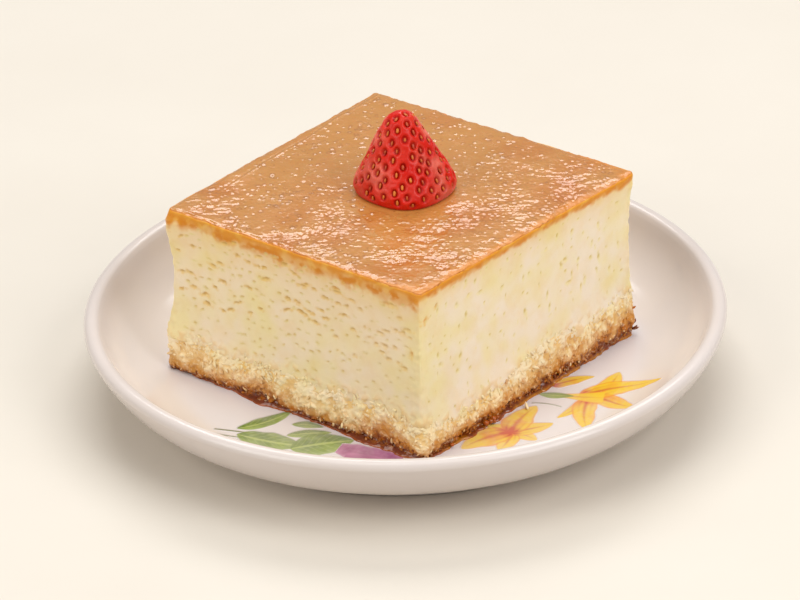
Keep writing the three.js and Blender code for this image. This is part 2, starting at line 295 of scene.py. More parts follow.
def custard_offset(z):
    """The custard's side at a height, against a straight line from top to base."""
    share = np.clip((TOP_Z - z) / (TOP_Z - BASE_Z - SEAM[0][0]), 0, 1)
    flare = FLARE * smooth(TOP_Z - 10, TOP_Z - 2, z)
    rounded = np.clip(z - TOP_Z + SKIN_THICKNESS, 0, 1)
    return flare - SIDE_BOW * np.sin(np.pi * share) - EDGE_ROUNDING * (1 - np.sqrt(1 - rounded**2))


def edge_wave(points):
    """How far the slab's upper edge wanders, alike for the custard and the skin on it."""
    return 0.16 * noise(points * [1, 1, 0], 6, 79) + 0.14 * noise(points * [1, 1, 0], 2.4, 80)


def seam_height(outline):
    uneven = 0.4 * noise(outline.level, 5, 31) + 0.4 * noise(outline.level, 2.2, 32)
    return BASE_Z + outline.listed(SEAM) + uneven


# ---- shader helpers ----


class Shader:
    """A material with a Principled shader, built up by short calls."""

    def __init__(self, name, **sockets):
        self.material = bpy.data.materials.new(name)
        self.material.use_nodes = True
        self.tree = self.material.node_tree
        self.bsdf = self.tree.nodes["Principled BSDF"]
        for key, value in sockets.items():
            self.bsdf.inputs[key.replace("_", " ")].default_value = value

    def node(self, kind, **settings):
        made = self.tree.nodes.new(kind)
        for key, value in settings.items():
            setattr(made, key, value)
        return made

    def give(self, socket, value):
        """Sets a socket to a number or colour, or links it to another node's output."""
        if isinstance(value, bpy.types.NodeSocket):
            self.tree.links.new(value, socket)
        else:
            socket.default_value = value if isinstance(value, (int, float)) else rgba(value)

    def attribute(self, name, channel="Color"):
        return self.node("ShaderNodeAttribute", attribute_name=name).outputs[channel]

    def texture(self, kind, size_mm, stretch):
        """A texture in the object's own space, longer along the axes whose stretch is above 1."""
        mapping = self.node("ShaderNodeMapping", vector_type="TEXTURE")
        self.give(mapping.inputs["Vector"], self.node("ShaderNodeTexCoord").outputs["Object"])
        mapping.inputs["Scale"].default_value = stretch
        made = self.node(kind)
        self.give(made.inputs["Vector"], mapping.outputs["Vector"])
        made.inputs["Scale"].default_value = 1 / (size_mm * MM)
        return made

    def noise(self, size_mm, detail=3.0, roughness=0.55, stretch=(1, 1, 1), distortion=0.0):
        """Noise from 0 to 1."""
        made = self.texture("ShaderNodeTexNoise", size_mm, stretch)
        for key, number in zip(("Detail", "Roughness", "Distortion"), (detail, roughness, distortion)):
            made.inputs[key].default_value = number
        return made.outputs["Fac"]

    def cells(self, size_mm, stretch=(1, 1, 1)):
        """Distance from the nearest of some scattered places."""
        return self.texture("ShaderNodeTexVoronoi", size_mm, stretch).outputs["Distance"]

    def ramp(self, value, low, high, to_low=0.0, to_high=1.0):
        ranged = self.node("ShaderNodeMapRange", interpolation_type="SMOOTHSTEP")
        self.give(ranged.inputs["Value"], value)
        for key, number in zip(("From Min", "From Max", "To Min", "To Max"), (low, high, to_low, to_high)):
            ranged.inputs[key].default_value = number
        return ranged.outputs["Result"]

    def maths(self, operation, a, b):
        made = self.node("ShaderNodeMath", operation=operation)
        for socket, value in zip(made.inputs, (a, b)):
            self.give(socket, value)
        return made.outputs[0]

    def mix(self, a, b, factor, mode="MIX"):
        made = self.node("ShaderNodeMix", data_type="RGBA", blend_type=mode)
        colour_a, colour_b = [s for s in made.inputs if s.type == "RGBA"]
        for socket, value in ((colour_a, a), (colour_b, b), (made.inputs[0], factor)):
            self.give(socket, value)
        return [s for s in made.outputs if s.type == "RGBA"][0]

    def fleck(self, under, colour, pattern, low, high, most, mode="MIX"):
        """Lays a colour over another, up to a share of most, where a pattern goes from low to high."""
        return self.mix(under, colour, self.ramp(pattern, low, high, 0.0, most), mode)

    def colour(self, out):
        self.give(self.bsdf.inputs["Base Color"], out)

    def roughness(self, out):
        self.give(self.bsdf.inputs["Roughness"], out)

    def bump(self, height, depth_mm, strength, under=None):
        made = self.node("ShaderNodeBump")
        made.inputs["Strength"].default_value = strength
        made.inputs["Distance"].default_value = depth_mm * MM
        self.give(made.inputs["Height"], height)
        if under is not None:
            self.give(made.inputs["Normal"], under)
        self.give(self.bsdf.inputs["Normal"], made.outputs["Normal"])
        return made.outputs["Normal"]

    def glow_through(self, weight, radius_mm, red_to_blue):
        self.bsdf.inputs["Subsurface Weight"].default_value = weight
        self.bsdf.inputs["Subsurface Scale"].default_value = radius_mm * MM
        self.bsdf.inputs["Subsurface Radius"].default_value = red_to_blue


# ---- materials ----


def porcelain():
    m = Shader("porcelain", Roughness=0.16, IOR=1.42, Coat_Weight=0.08, Coat_Roughness=0.08)
    body = m.fleck(m.attribute("tint"), srgb(214, 205, 203), m.noise(22, 2), 0.35, 0.7, 0.3)
    specks = m.ramp(m.cells(3.1), 0.06, 0.03)
    m.colour(m.mix(body, srgb(200, 188, 182), m.maths("MULTIPLY", specks, 0.25)))
    m.roughness(m.ramp(m.noise(9, 3), 0.3, 0.75, 0.12, 0.22))
    m.bump(m.noise(14, 2), 0.03, 0.35)
    return m.material


def custard_flesh():
    m = Shader("custard_flesh", Roughness=0.42, IOR=1.38, Coat_Weight=0.06, Coat_Roughness=0.3)
    mottle = m.fleck(m.attribute("tint"), srgb(250, 240, 214), m.noise(5, 4), 0.4, 0.75, 0.5, "MULTIPLY")
    fine = m.ramp(m.cells(0.8, stretch=(1, 1, 0.6)), 0.16, 0.05)
    m.colour(m.mix(mottle, srgb(205, 170, 105), m.maths("MULTIPLY", fine, 0.35)))
    m.roughness(m.ramp(m.noise(2.2, 3), 0.3, 0.7, 0.32, 0.5))
    grain = m.bump(m.noise(0.55, 3, stretch=(1, 1, 0.6)), 0.05, 0.5)
    m.bump(fine, -0.12, 0.6, grain)
    m.glow_through(0.3, 0.9, (1.0, 0.85, 0.7))
    return m.material


def coconut_flesh():
    m = Shader("coconut_flesh", Roughness=0.5, IOR=1.36)
    fibre = m.noise(0.7, 4, stretch=(1.3, 1.3, 1))
    dry = m.fleck(m.attribute("tint"), srgb(250, 238, 208), fibre, 0.52, 0.74, 0.4)
    m.colour(m.fleck(dry, srgb(170, 116, 60), m.noise(1.7, 3), 0.58, 0.8, 0.25))
    m.roughness(m.ramp(m.attribute("soak", "Fac"), 0.1, 0.9, 0.6, 0.34))
    m.bump(fibre, 0.06, 0.6)
    return m.material


def wet_caramel():
    m = Shader("wet_caramel", Roughness=0.1, IOR=1.42, Coat_Weight=0.3, Coat_Roughness=0.05)
    m.colour(m.fleck(m.attribute("tint"), srgb(78, 26, 4), m.noise(2.2, 4), 0.45, 0.72, 0.45))
    m.roughness(m.ramp(m.noise(1.2, 3), 0.35, 0.7, 0.08, 0.22))
    m.bump(m.noise(1.1, 4, distortion=0.4), 0.15, 0.5)
    m.glow_through(0.12, 0.8, (1.0, 0.4, 0.15))
    return m.material


def caramel_skin_finish():
    m = Shader("caramel_skin_finish", Roughness=0.2, IOR=1.48, Coat_Weight=0.6, Coat_Roughness=0.05)
    tone = m.fleck(m.attribute("tint"), srgb(198, 132, 72), m.noise(6, 4), 0.42, 0.75, 0.4)
    pits = m.maths("MULTIPLY", m.ramp(m.cells(1.9), 0.2, 0.1), m.ramp(m.noise(7, 2), 0.45, 0.6))
    tone = m.mix(tone, srgb(146, 86, 38), m.maths("MULTIPLY", pits, 0.6))
    m.colour(m.fleck(tone, srgb(166, 98, 42), m.noise(0.9, 3), 0.6, 0.78, 0.35))
    dull = m.attribute("dull", "Fac")
    uneven = m.ramp(m.noise(2.4, 4), 0.3, 0.75, 0.14, 0.3)
    m.roughness(m.maths("ADD", uneven, m.maths("MULTIPLY", dull, 0.3)))
    m.give(m.bsdf.inputs["Coat Weight"], m.ramp(dull, 0.0, 1.0, 0.6, 0.05))
    m.bump(m.noise(0.6, 3, 0.5), 0.07, 0.65)
    m.glow_through(0.15, 1.2, (1.0, 0.5, 0.2))
    return m.material


def strawberry_flesh():
    m = Shader("strawberry_flesh", Roughness=0.3, IOR=1.33, Coat_Weight=0.05, Coat_Roughness=0.16)
    tone = m.fleck(m.attribute("tint"), srgb(212, 50, 14), m.noise(3.5, 3), 0.45, 0.75, 0.5)
    m.colour(m.fleck(tone, srgb(120, 8, 6), m.noise(1.1, 3), 0.6, 0.8, 0.4))
    m.roughness(m.ramp(m.noise(1.6, 3), 0.3, 0.7, 0.3, 0.46))
    m.bump(m.noise(0.5, 3), 0.05, 0.45)
    m.glow_through(0.25, 1.6, (1.0, 0.2, 0.1))
    return m.material


def seed_husk():
    m = Shader("seed_husk", Roughness=0.35, IOR=1.45)
    m.colour(m.fleck(m.attribute("tint"), srgb(120, 52, 14), m.noise(0.4, 3), 0.5, 0.75, 0.6))
    m.bump(m.noise(0.25, 3, stretch=(1, 1, 2.2)), 0.04, 0.5)
    return m.material


# ---- plate ----

GLAZE = srgb(226, 219, 220)
# painted shade: the wall and rim glazes are darker and warmer than the well's, standing in for shade and a
# warm reflection on a plate glazed alike all over
SHADED_WALL_GLAZE = srgb(224, 213, 205)
SHADED_RIM_GLAZE = srgb(212, 201, 195)


def level_arc(across, up):
    """Heights along an arc that starts level and ends that far across and up."""
    radius = (across**2 + up**2) / (2 * up)
    return lambda run: radius - np.sqrt(radius**2 - run**2)


def plate_top(r):
    """Height of the plate's inside at a distance from its axis."""
    rise = level_arc(LIP_INNER_R - WELL_R, LIP_INNER_Z - WELL_Z)
    return WELL_Z + rise(np.clip(r - WELL_R, 0, LIP_INNER_R - WELL_R))


def plate_profile():
    """Radius and height from the middle of the underside, round the rim, to the middle of the well."""
    outer = level_arc(RIM_R - WELL_R, RIM_Z - UNDER_Z)
    points = [(r, UNDER_Z) for r in (0.01, 15, 30, 42, 50)]
    points += [(FOOT_INNER_R - 1.2, UNDER_Z), (FOOT_INNER_R - 0.5, UNDER_Z - 0.5), (FOOT_INNER_R, 0.8)]
    middle = (FOOT_INNER_R + FOOT_OUTER_R) / 2
    half = (FOOT_OUTER_R - FOOT_INNER_R) / 2
    for angle in np.linspace(-1.25, 1.25, 9):
        points.append((middle + half * np.sin(angle), 0.8 * (1 - np.cos(angle)) ** 1.5 * 0.9))
    points += [(FOOT_OUTER_R, 1.2), (FOOT_OUTER_R + 0.15, 2.2), (FOOT_OUTER_R + 0.7, UNDER_Z - 0.35)]
    for r in WELL_R + (RIM_R - WELL_R) * np.sin(np.linspace(0.2, 0.5, 30) * np.pi):
        points.append((r, UNDER_Z + outer(min(r - WELL_R, RIM_R - WELL_R))))
    lip_r, lip_z = (RIM_R + LIP_INNER_R) / 2, LIP_INNER_Z - 0.6
    for angle in np.linspace(0.05, 0.8, 14) * np.pi:
        r = lip_r + (RIM_R - lip_r) * np.cos(angle)
        points.append((r, lip_z + (LIP_Z - lip_z) * np.sin(angle)))
    for r in np.linspace(LIP_INNER_R - 0.3, WELL_R, 26):
        points.append((r, plate_top(r)))
    points += [(r, WELL_Z) for r in (54, 50, 44, 36, 24, 12, 0.01)]
    return np.array(points)


def make_plate(material):
    turns = np.linspace(0, 2 * np.pi, 240, endpoint=False)
    profile = plate_profile()
    radius, height = profile[:, :1], profile[:, 1:]
    rings = np.stack([radius * np.cos(turns), radius * np.sin(turns), height + 0 * turns], -1)
    # painted shade: the wall and the rim take the darker, warmer glaze tints
    wall = smooth(WELL_R - 2, WELL_R + 5, radius)
    rim = smooth(LIP_INNER_R - 4, LIP_INNER_R, radius)
    tint = blend(blend(GLAZE, SHADED_WALL_GLAZE, wall), SHADED_RIM_GLAZE, rim)
    lofted_piece("plate_glazed", rings, material, "porcelain", "plate", np.broadcast_to(tint, rings.shape))


# ---- the printed spray of lilies and leaves ----

YELLOW, ORANGE, THROAT = srgb(234, 194, 26), srgb(228, 118, 8), srgb(198, 46, 2)
GREEN, PALE_GREEN, VEIN = srgb(92, 122, 14), srgb(134, 160, 36), srgb(184, 198, 104)
STEM, PLUM, PALE_PLUM = srgb(104, 106, 54), srgb(152, 68, 120), srgb(188, 114, 156)
PRINT_STEP = 0.18
PRINT_SOFTNESS = 0.16

HEART = (45.4, -16.3)  # of the nearer lily
LILY_NEAR = [
    # kind, root, tip, width, bend
    ("petal", HEART, (39.0, -16.9), 6.0, 0.2),
    ("petal", HEART, (52.9, -15.6), 5.4, 0.5),
    ("petal", HEART, (48.4, -24.6), 6.2, 0.8),
    ("petal", HEART, (51.2, -7.0), 6.0, -0.4),
    ("petal", HEART, (41.0, -29.4), 8.6, -0.9),
    ("petal", HEART, (42.8, -2.8), 7.8, 0.6),
]
LILY_FAR = [
    ("petal", (51.0, 7.4), (50.4, -4.4), 3.6, 0.5),
    ("petal", (50.6, 8.2), (60.0, -4.8), 6.4, -1.2),
    ("petal", (51.6, 9.4), (49.0, 22.4), 6.6, -0.6),
    ("petal", (51.0, 9.0), (63.6, 8.8), 6.2, 0.6),
    ("petal", (48.6, 6.8), (61.0, 23.4), 7.2, 1.8),
    ("trumpet", (41.4, 3.4), (53.4, 10.2), 6.4, -0.5),
    ("petal", (39.9, 7.2), (45.4, 17.0), 4.4, 0.5),
    ("leaf", (39.6, 2.2), (47.2, 6.4), 2.8, -0.3),
    ("stem", (41.1, -2.3), (48.0, 0.4), 0.45, 0.6),
]
LEAVES = [
    ("leaf", (1.1, -44.6), (8.2, -41.2), 3.2, 0.5),
    ("leaf", (3.6, -49.4), (11.4, -42.0), 3.6, 0.4),
    ("stem", (-12.4, -57.4), (4.0, -51.2), 0.6, 0.5),
    ("stem", (-10.8, -59.2), (2.0, -52.8), 0.5, -0.4),
    ("leaf", (-8.2, -54.0), (-3.2, -39.6), 4.6, -1.2),
    ("leaf", (-6.4, -56.0), (10.2, -50.9), 7.8, -0.6),
    ("leaf", (8.4, -53.6), (18.0, -41.6), 9.8, 0.4),
]
PLUM_PETALS = [
    ("plum", (17.4, -46.4), (33.0, -42.0), 7.2, -0.6),
    ("plum", (21.0, -48.6), (33.0, -45.0), 4.0, 0.5),
]


def stroke_half(kind, u, width):
    """Half the width of a printed stroke at places from its root, 0, to its tip, 1."""
    u = np.clip(u, 0, 1)
    if kind == "petal":
        return width / 2 * np.maximum(np.sin(np.pi * u**0.66), 0) ** 0.62 * (1 - 0.15 * u)
    if kind == "leaf":
        return width / 2 * np.maximum(np.sin(np.pi * u**0.85), 0) ** 0.75
    if kind == "plum":
        return width / 2 * np.maximum(np.sin(np.pi * (0.08 + 0.9 * u)), 0) ** 0.4
    if kind == "trumpet":
        return width / 2 * (0.16 + 0.84 * u**1.4)
    return width / 2 * (1 - 0.5 * u)


def stroke_tint(kind, u, v, ripple):
    """Its colours: u from root to tip, v from -1 to 1 across it."""
    u = np.clip(u, 0, 1)
    if kind in ("petal", "trumpet"):
        midrib = np.exp(-((v / (0.2 * (1.2 - u))) ** 2)) * (1 - u) ** 0.6
        rays = np.exp(-(((abs(v) - 0.5) / 0.1) ** 2)) * np.clip(1.0 - 1.9 * u, 0, 1) * 0.6
        throat = np.clip(1 - 5 * u, 0, 1)
        warm = np.clip(0.42 - 0.9 * u + 0.5 * ripple, 0, 1)
        tint = blend(blend(YELLOW, ORANGE, warm), THROAT, np.clip(midrib + rays + throat, 0, 1) * 0.95)
        tint = blend(tint, ORANGE, np.exp(-(((abs(v) - 0.94) / 0.09) ** 2)) * 0.7)
        return blend(tint, GREEN, smooth(0.45, 0.1, u)) if kind == "trumpet" else tint
    if kind == "plum":
        return blend(PLUM, PALE_PLUM, np.clip(abs(v) * 0.7 + 0.5 * ripple, 0, 1))
    if kind == "leaf":
        side_veins = np.exp(-((np.sin((u * 8 - abs(v) * 2.0) * np.pi) / 0.22) ** 2)) * 0.35
        rib = np.exp(-((v / 0.09) ** 2))
        body = blend(GREEN, PALE_GREEN, np.clip(0.4 - 0.5 * v + 0.5 * ripple, 0, 1))
        return blend(body, VEIN, np.clip(side_veins + rib, 0, 0.7))
    return blend(STEM, GREEN, u)


def paint(grid, strokes):
    """Colours of the glazed plate at grid points under strokes laid one over another, and their cover."""
    level = np.dstack([grid, np.zeros(grid.shape[:2])])
    ripple, fine = noise(level, 2.4, 51), noise(level, 0.7, 52)
    tint = np.broadcast_to(GLAZE, (*grid.shape[:2], 3)).copy()
    covered = np.zeros(grid.shape[:2])
    for kind, root, tip, width, bend in strokes:
        run = np.subtract(tip, root)
        length = np.linalg.norm(run)
        along = run / length
        u = (grid - root) @ along / length
        sideways = (grid - root) @ np.array([-along[1], along[0]]) - bend * 4 * u * (1 - u)
        half = stroke_half(kind, u, width) * (1 + 0.12 * ripple * (kind != "stem"))
        inside = smooth(PRINT_SOFTNESS, -PRINT_SOFTNESS, abs(sideways) - half) * ((u > 0) & (u < 1))
        v = np.clip(sideways / np.maximum(half, 0.05), -1, 1)
        edge = 1 - 0.2 * abs(v) ** 6  # the ink thins out towards the stroke's edge
        tint = blend(tint, stroke_tint(kind, u, v, ripple), inside * edge * (0.94 + 0.06 * fine))
        covered = np.maximum(covered, inside)
    return tint, covered


def printed(name, strokes, lift, material):
    """A thin sheet on the plate's glaze that carries the painted strokes."""
    ends = np.array([end for _, root, tip, _, _ in strokes for end in (root, tip)])
    margin = max(width for _, _, _, width, _ in strokes)
    low, high = ends.min(0) - margin, ends.max(0) + margin
    axes = [np.arange(a, b, PRINT_STEP) for a, b in zip(low, high)]
    grid = np.dstack(np.meshgrid(*axes))
    tint, covered = paint(grid, strokes)
    marked = covered > 0.01
    cell = marked[:-1, :-1] | marked[1:, :-1] | marked[:-1, 1:] | marked[1:, 1:]
    cell[[0, -1]] = False
    cell[:, [0, -1]] = False
    used = np.zeros(marked.shape, bool)
    for down, across in itertools.product((0, 1), repeat=2):
        used[down:down + cell.shape[0], across:across + cell.shape[1]] |= cell
    number = np.full(used.shape, -1)
    count = int(used.sum())
    number[used] = np.arange(count)
    height = plate_top(np.linalg.norm(grid[used], axis=-1))
    points = np.concatenate([
        np.column_stack([grid[used], height + lift]),
        np.column_stack([grid[used], height - 0.08]),
    ])
    faces = []
    for r, c in zip(*np.nonzero(cell)):
        ring = [int(number[at]) for at in ((r, c), (r, c + 1), (r + 1, c + 1), (r + 1, c))]
        faces.append(tuple(ring))
        faces.append(tuple(i + count for i in reversed(ring)))
        beside = [(r - 1, c), (r, c + 1), (r + 1, c), (r, c - 1)]
        for k in range(4):
            if not cell[beside[k]]:
                a, b = ring[k], ring[(k + 1) % 4]
                faces.append((b, a, a + count, b + count))
    piece(name, points, faces, material, "porcelain", colour=np.concatenate([tint[used]] * 2))


def make_print(material):
    printed("printed_lily_near", LILY_NEAR, 0.03, material)
    printed("printed_lily_far", LILY_FAR, 0.03, material)
    printed("printed_leaves", LEAVES, 0.03, material)
    printed("printed_plum_petals", PLUM_PETALS, 0.04, material)


# ---- custard ----

CUSTARD_STEPS = (236, 236, 150, 150)
CREAM = srgb(241, 224, 195)
LIT_SIDE_CREAM = srgb(242, 228, 206)  # painted light: the side at +X is painted paler, as the lit side
LEMON = srgb(238, 223, 163)
AMBER = srgb(217, 142, 30)
BURNT_AMBER = srgb(212, 130, 8)
GOLDEN = srgb(228, 178, 74)
HONEY = srgb(232, 194, 106)
# painted shade tints for the pores' upper parts, this and the two below
PORE_SHADE_BROWN = srgb(200, 152, 70)
STRAW = srgb(226, 208, 138)
PORE_SHADE_TAWNY = srgb(214, 176, 106)
PORE_SHADE_OLIVE = srgb(208, 180, 92)

COCONUT = srgb(230, 196, 138)
COCONUT_LIGHT = srgb(248, 228, 186)

PORE_KINDS = [
    # sides, count, half long, half high, depth, lowest share, halo, middle (painted shade in the pore's
    # upper part), share upright
    ((0,), 66, (0.8, 1.45), (0.26, 0.4), 0.45, 0.3, HONEY, PORE_SHADE_BROWN, 0.0),
    ((0,), 190, (0.4, 0.8), (0.15, 0.25), 0.22, 0.0, STRAW, PORE_SHADE_TAWNY, 0.0),
    ((1,), 40, (0.5, 0.9), (0.34, 0.5), 0.26, 0.25, LEMON, PORE_SHADE_OLIVE, 0.6),
    ((1,), 100, (0.25, 0.5), (0.18, 0.3), 0.14, 0.0, LEMON, PORE_SHADE_OLIVE, 0.3),
    ((2, 3), 100, (0.7, 1.2), (0.25, 0.4), 0.55, 0.28, HONEY, PORE_SHADE_BROWN, 0.1),
    ((2, 3), 150, (0.35, 0.7), (0.16, 0.26), 0.3, 0.0, STRAW, PORE_SHADE_OLIVE, 0.1),
]


CORNER_STAINS = [
    # side, run, height share, half long, half high, depth, tilt: amber that ran in at the near corner
    (0, 70.0, 0.86, 1.5, 0.5, 0.4, 0.1),
    (0, 74.5, 0.66, 1.3, 0.4, 0.3, 0.0),
    (0, 77.0, 0.52, 0.5, 0.9, 0.3, 0.0),
    (1, 1.2, 0.8, 1.0, 0.7, 0.3, 0.1),
    (1, 4.8, 0.88, 0.6, 0.5, 0.4, 0.0),
    (0, 54.0, 0.84, 1.4, 0.4, 0.5, -0.1),
]


def scatter_pores():
    """Pores as rows of side, run, height share, half long, half high, depth, tilt and tints."""
    pores = [(*stain, HONEY, AMBER) for stain in CORNER_STAINS]
    taken = []
    for sides, count, long_range, high_range, depth, lowest, halo, middle, upright in PORE_KINDS:
        made = 0
        while made < count:
            side = int(rng.choice(sides))
            run = rng.uniform(1.5, 77)
            share = lowest + (0.95 - lowest) * rng.uniform() ** 0.8
            crowd = noise(np.array([[run, share * CUSTARD_HEIGHT, side * 50]]), 8, 4)[0]
            if rng.uniform() > 0.7 + 0.4 * crowd:
                continue
            apart = (math.hypot(run - r, (share - h) * CUSTARD_HEIGHT) for s, r, h in taken if s == side)
            if min(apart, default=2) < 1.8:
                continue
            taken.append((side, run, share))
            long, high = rng.uniform(*long_range), rng.uniform(*high_range)
            if rng.uniform() < upright:
                long, high = high, long * 1.1
            deep, tilt = depth * rng.uniform(0.6, 1), rng.normal(0, 0.14)
            pores.append((side, run, share, long, high, deep, tilt, halo, middle))
            made += 1
    return pores


def hem_under_skin(outline, rings, tint):
    """The tint with the amber that has soaked in under the skin, in an uneven hem."""
    right = outline.side == 1
    below = np.maximum(TOP_Z - 0.8 - rings[..., 2], 0)
    upright = rings * [1, 1, 0.15]
    hem = 3.0 + 0.7 * noise(upright, 7, 8) + 0.9 * noise(upright, 2.4, 9) + 0.4 * noise(upright, 1.0, 10)
    hem = hem * np.where(right, 0.45, 1.0)
    soak = smooth(0.45, -0.45, (below - hem) / np.maximum(hem, 0.5) + 0.3 * noise(rings, 0.9, 12))
    tint = blend(tint, GOLDEN, np.exp(-below / np.where(right, 3.0, 5.5)) * 0.75)
    amber = blend(AMBER, GOLDEN, smooth(0.0, 0.7, noise(rings, 1.8, 11)) * 0.5)
    patchy = smooth(-0.5, 0.4, noise(rings, 2.8, 18)) * smooth(0.0, 1.0, below)
    tint = blend(tint, amber, soak * (1 - 0.4 * patchy))
    blots = smooth(-0.1, 0.5, noise(rings * [1, 1, 1.5], 1.9, 13) + 0.3 * noise(rings, 0.8, 19))
    low_in_hem = np.exp(-(((below - 0.58 * hem) / (0.42 * hem + 0.2)) ** 2))
    return blend(tint, BURNT_AMBER, blots * low_in_hem)


def press_pores(outline, rings, seam, tint):
    """Depth of the pores at each place. Their colours, with painted shade in each pore's upper part, are
    painted into the tint.
    """
    depth = np.zeros(rings.shape[:2])
    height = TOP_Z - SKIN_THICKNESS - seam
    ragged = 0.38 * noise(rings, 0.55, 14) + 0.25 * noise(rings, 1.1, 15)
    for side, run, at, long, high, deep, tilt, halo, middle in scatter_pores():
        near = np.flatnonzero((outline.side == side) & (abs(outline.run - run) < long * 3 + 0.5))
        rough = ragged[:, near]
        dx = (outline.run[near] - run)[None, :]
        dz = rings[:, near, 2] - (seam[near] + height[near] * at)
        lengthways = (dx * math.cos(tilt) + dz * math.sin(tilt)) / long
        across = (dz * math.cos(tilt) - dx * math.sin(tilt)) / high
        hole = np.hypot(lengthways, across) + rough
        # painted shade: the shadow mask lies over the pore's upper part, and the middle tint laid there is
        # painted shade
        shadow = np.hypot(lengthways, (across - 0.3) / 0.9) + rough
        around = np.hypot(lengthways / 1.8, (across + 0.4) / 2.3) + rough
        depth[:, near] = np.maximum(depth[:, near], deep * smooth(1.15, 0.35, hole))
        strength = 0.7 - 0.25 * float(smooth(48, 66, run)) * (side == 0)  # paler towards the near corner
        patch = blend(tint[:, near], halo, smooth(1.1, 0.2, around) * strength)
        tint[:, near] = blend(patch, middle, smooth(1.15, 0.3, shadow) * strength)
    return depth


def leaning_corner(rings):
    """How far the slab's left corner leans out, above and below its middle."""
    z = rings[..., 2]
    upper = smooth(TOP_Z - 17, TOP_Z - 6, z) * smooth(TOP_Z - 0.6, TOP_Z - 4, z)
    lower = smooth(BASE_Z + 18, BASE_Z + 10, z)
    distance = np.linalg.norm(rings[..., :2] - TOP_CORNERS[0], axis=-1)
    return smooth(9, 1, distance) * (upper + 0.7 * lower)


def make_custard(material):
    outline = Outline(CUSTARD_STEPS)
    seam = seam_height(outline)
    bottom = seam - 1.6  # it reaches down inside the coconut's rough edge
    top = TOP_Z - 0.55  # its rounded edge stands just outside the skin
    share = np.linspace(0, 1, 94)[:, None]
    z = bottom + (top - bottom) * share
    rings = np.stack([outline.at(level, custard_offset(level)) for level in z])
    near_corner = np.minimum(outline.along, 1 - outline.along)[None, :] * SIDE_LENGTH
    # painted light: the side at +X is painted paler and less lemon-tinted, as the lit side
    paler = np.broadcast_to((outline.side == 1) * smooth(0.0, 3.0, near_corner), z.shape)
    lemon = 0.32 + 0.5 * noise(rings, 7, 3) + 0.3 * noise(rings, 3, 7) + 0.15 * smooth(8, 0, near_corner)
    tint = blend(blend(CREAM, LIT_SIDE_CREAM, paler), LEMON, np.clip(lemon - 0.12 * paler, 0, 0.8))
    tint = hem_under_skin(outline, rings, tint)
    depth = press_pores(outline, rings, seam, tint)
    corner = smooth(3.0, 0.5, near_corner)
    waver = 0.22 * noise(rings, 13, 5) + (0.05 + 0.12 * corner) * noise(rings, 1.1, 6)
    fade = smooth(0.0, 0.06, share) * smooth(1.0, 0.94, share)
    foot = smooth(4.5, 0.5, z - seam)
    crumbs = smooth(0.0, 0.6, noise(rings, 1.3, 16) + 0.5 * noise(rings, 0.7, 17)) * foot  # of coconut
    tint = blend(tint, COCONUT, crumbs * 0.7)
    move = waver * fade - depth + edge_wave(rings) * smooth(TOP_Z - 9, TOP_Z - 2, z)
    move = move + 0.3 * crumbs + leaning_corner(rings)
    rings[..., :2] += outline.normal[None] * move[..., None]
    lid = outline.at(TOP_Z - 1.6, -1.2)  # hidden under the skin
    rings = np.concatenate([rings, lid[None]])
    tint = np.concatenate([tint, tint[-1:]])
    lofted_piece("custard_block", rings, material, "custard", "custard", tint)


# ---- coconut layer ----

COCONUT_STEPS = (230, 230, 150, 150)
COCONUT_TAN = srgb(204, 146, 64)
FRINGE = srgb(196, 124, 34)
SOAKED = srgb(118, 54, 8)
SOAKED_LIGHT = srgb(178, 102, 18)


def coconut_tint(points, share, reach, painted_light):
    """Colour and wetness of coconut at points a share of the way up, soaked about as high as reach; the
    light share is painted light and shade, pale where flakes stand out and golden in hollows.
    """
    above = points[..., 2] - BASE_Z
    reach = np.minimum(reach, 3.5)  # higher up it has only stained the flakes
    edge = 1.0 + 0.5 * noise(points, 2.2, 71) + 0.4 * noise(points, 1.0, 72)
    soak = smooth(1.25, 0.55, above / (reach * edge + 0.2))
    toasted = noise(points, 3.2, 75) + 0.6 * smooth(2.6, 4.6, reach)
    tan = smooth(-0.2, 0.7, toasted) * smooth(0.8, 0.25, share) * 0.85
    dry = blend(blend(COCONUT, COCONUT_LIGHT, painted_light), COCONUT_TAN, tan * (1 - 0.35 * painted_light))
    creamy = blend(CREAM, LEMON, 0.45 + 0.4 * noise(points, 4, 78))
    creamy = blend(GOLDEN, creamy, smooth(-0.2, 0.35, painted_light))
    dry = blend(dry, creamy, smooth(0.35, 0.9, share + 0.25 * noise(points, 2.5, 76)) * 0.92)
    fringe = smooth(2.6, 0.8, above / (reach * edge + 0.3)) * 0.8
    wet = blend(SOAKED, SOAKED_LIGHT, smooth(-0.3, 0.5, noise(points, 1.1, 77)))
    return blend(blend(dry, FRINGE, fringe), wet, soak), soak


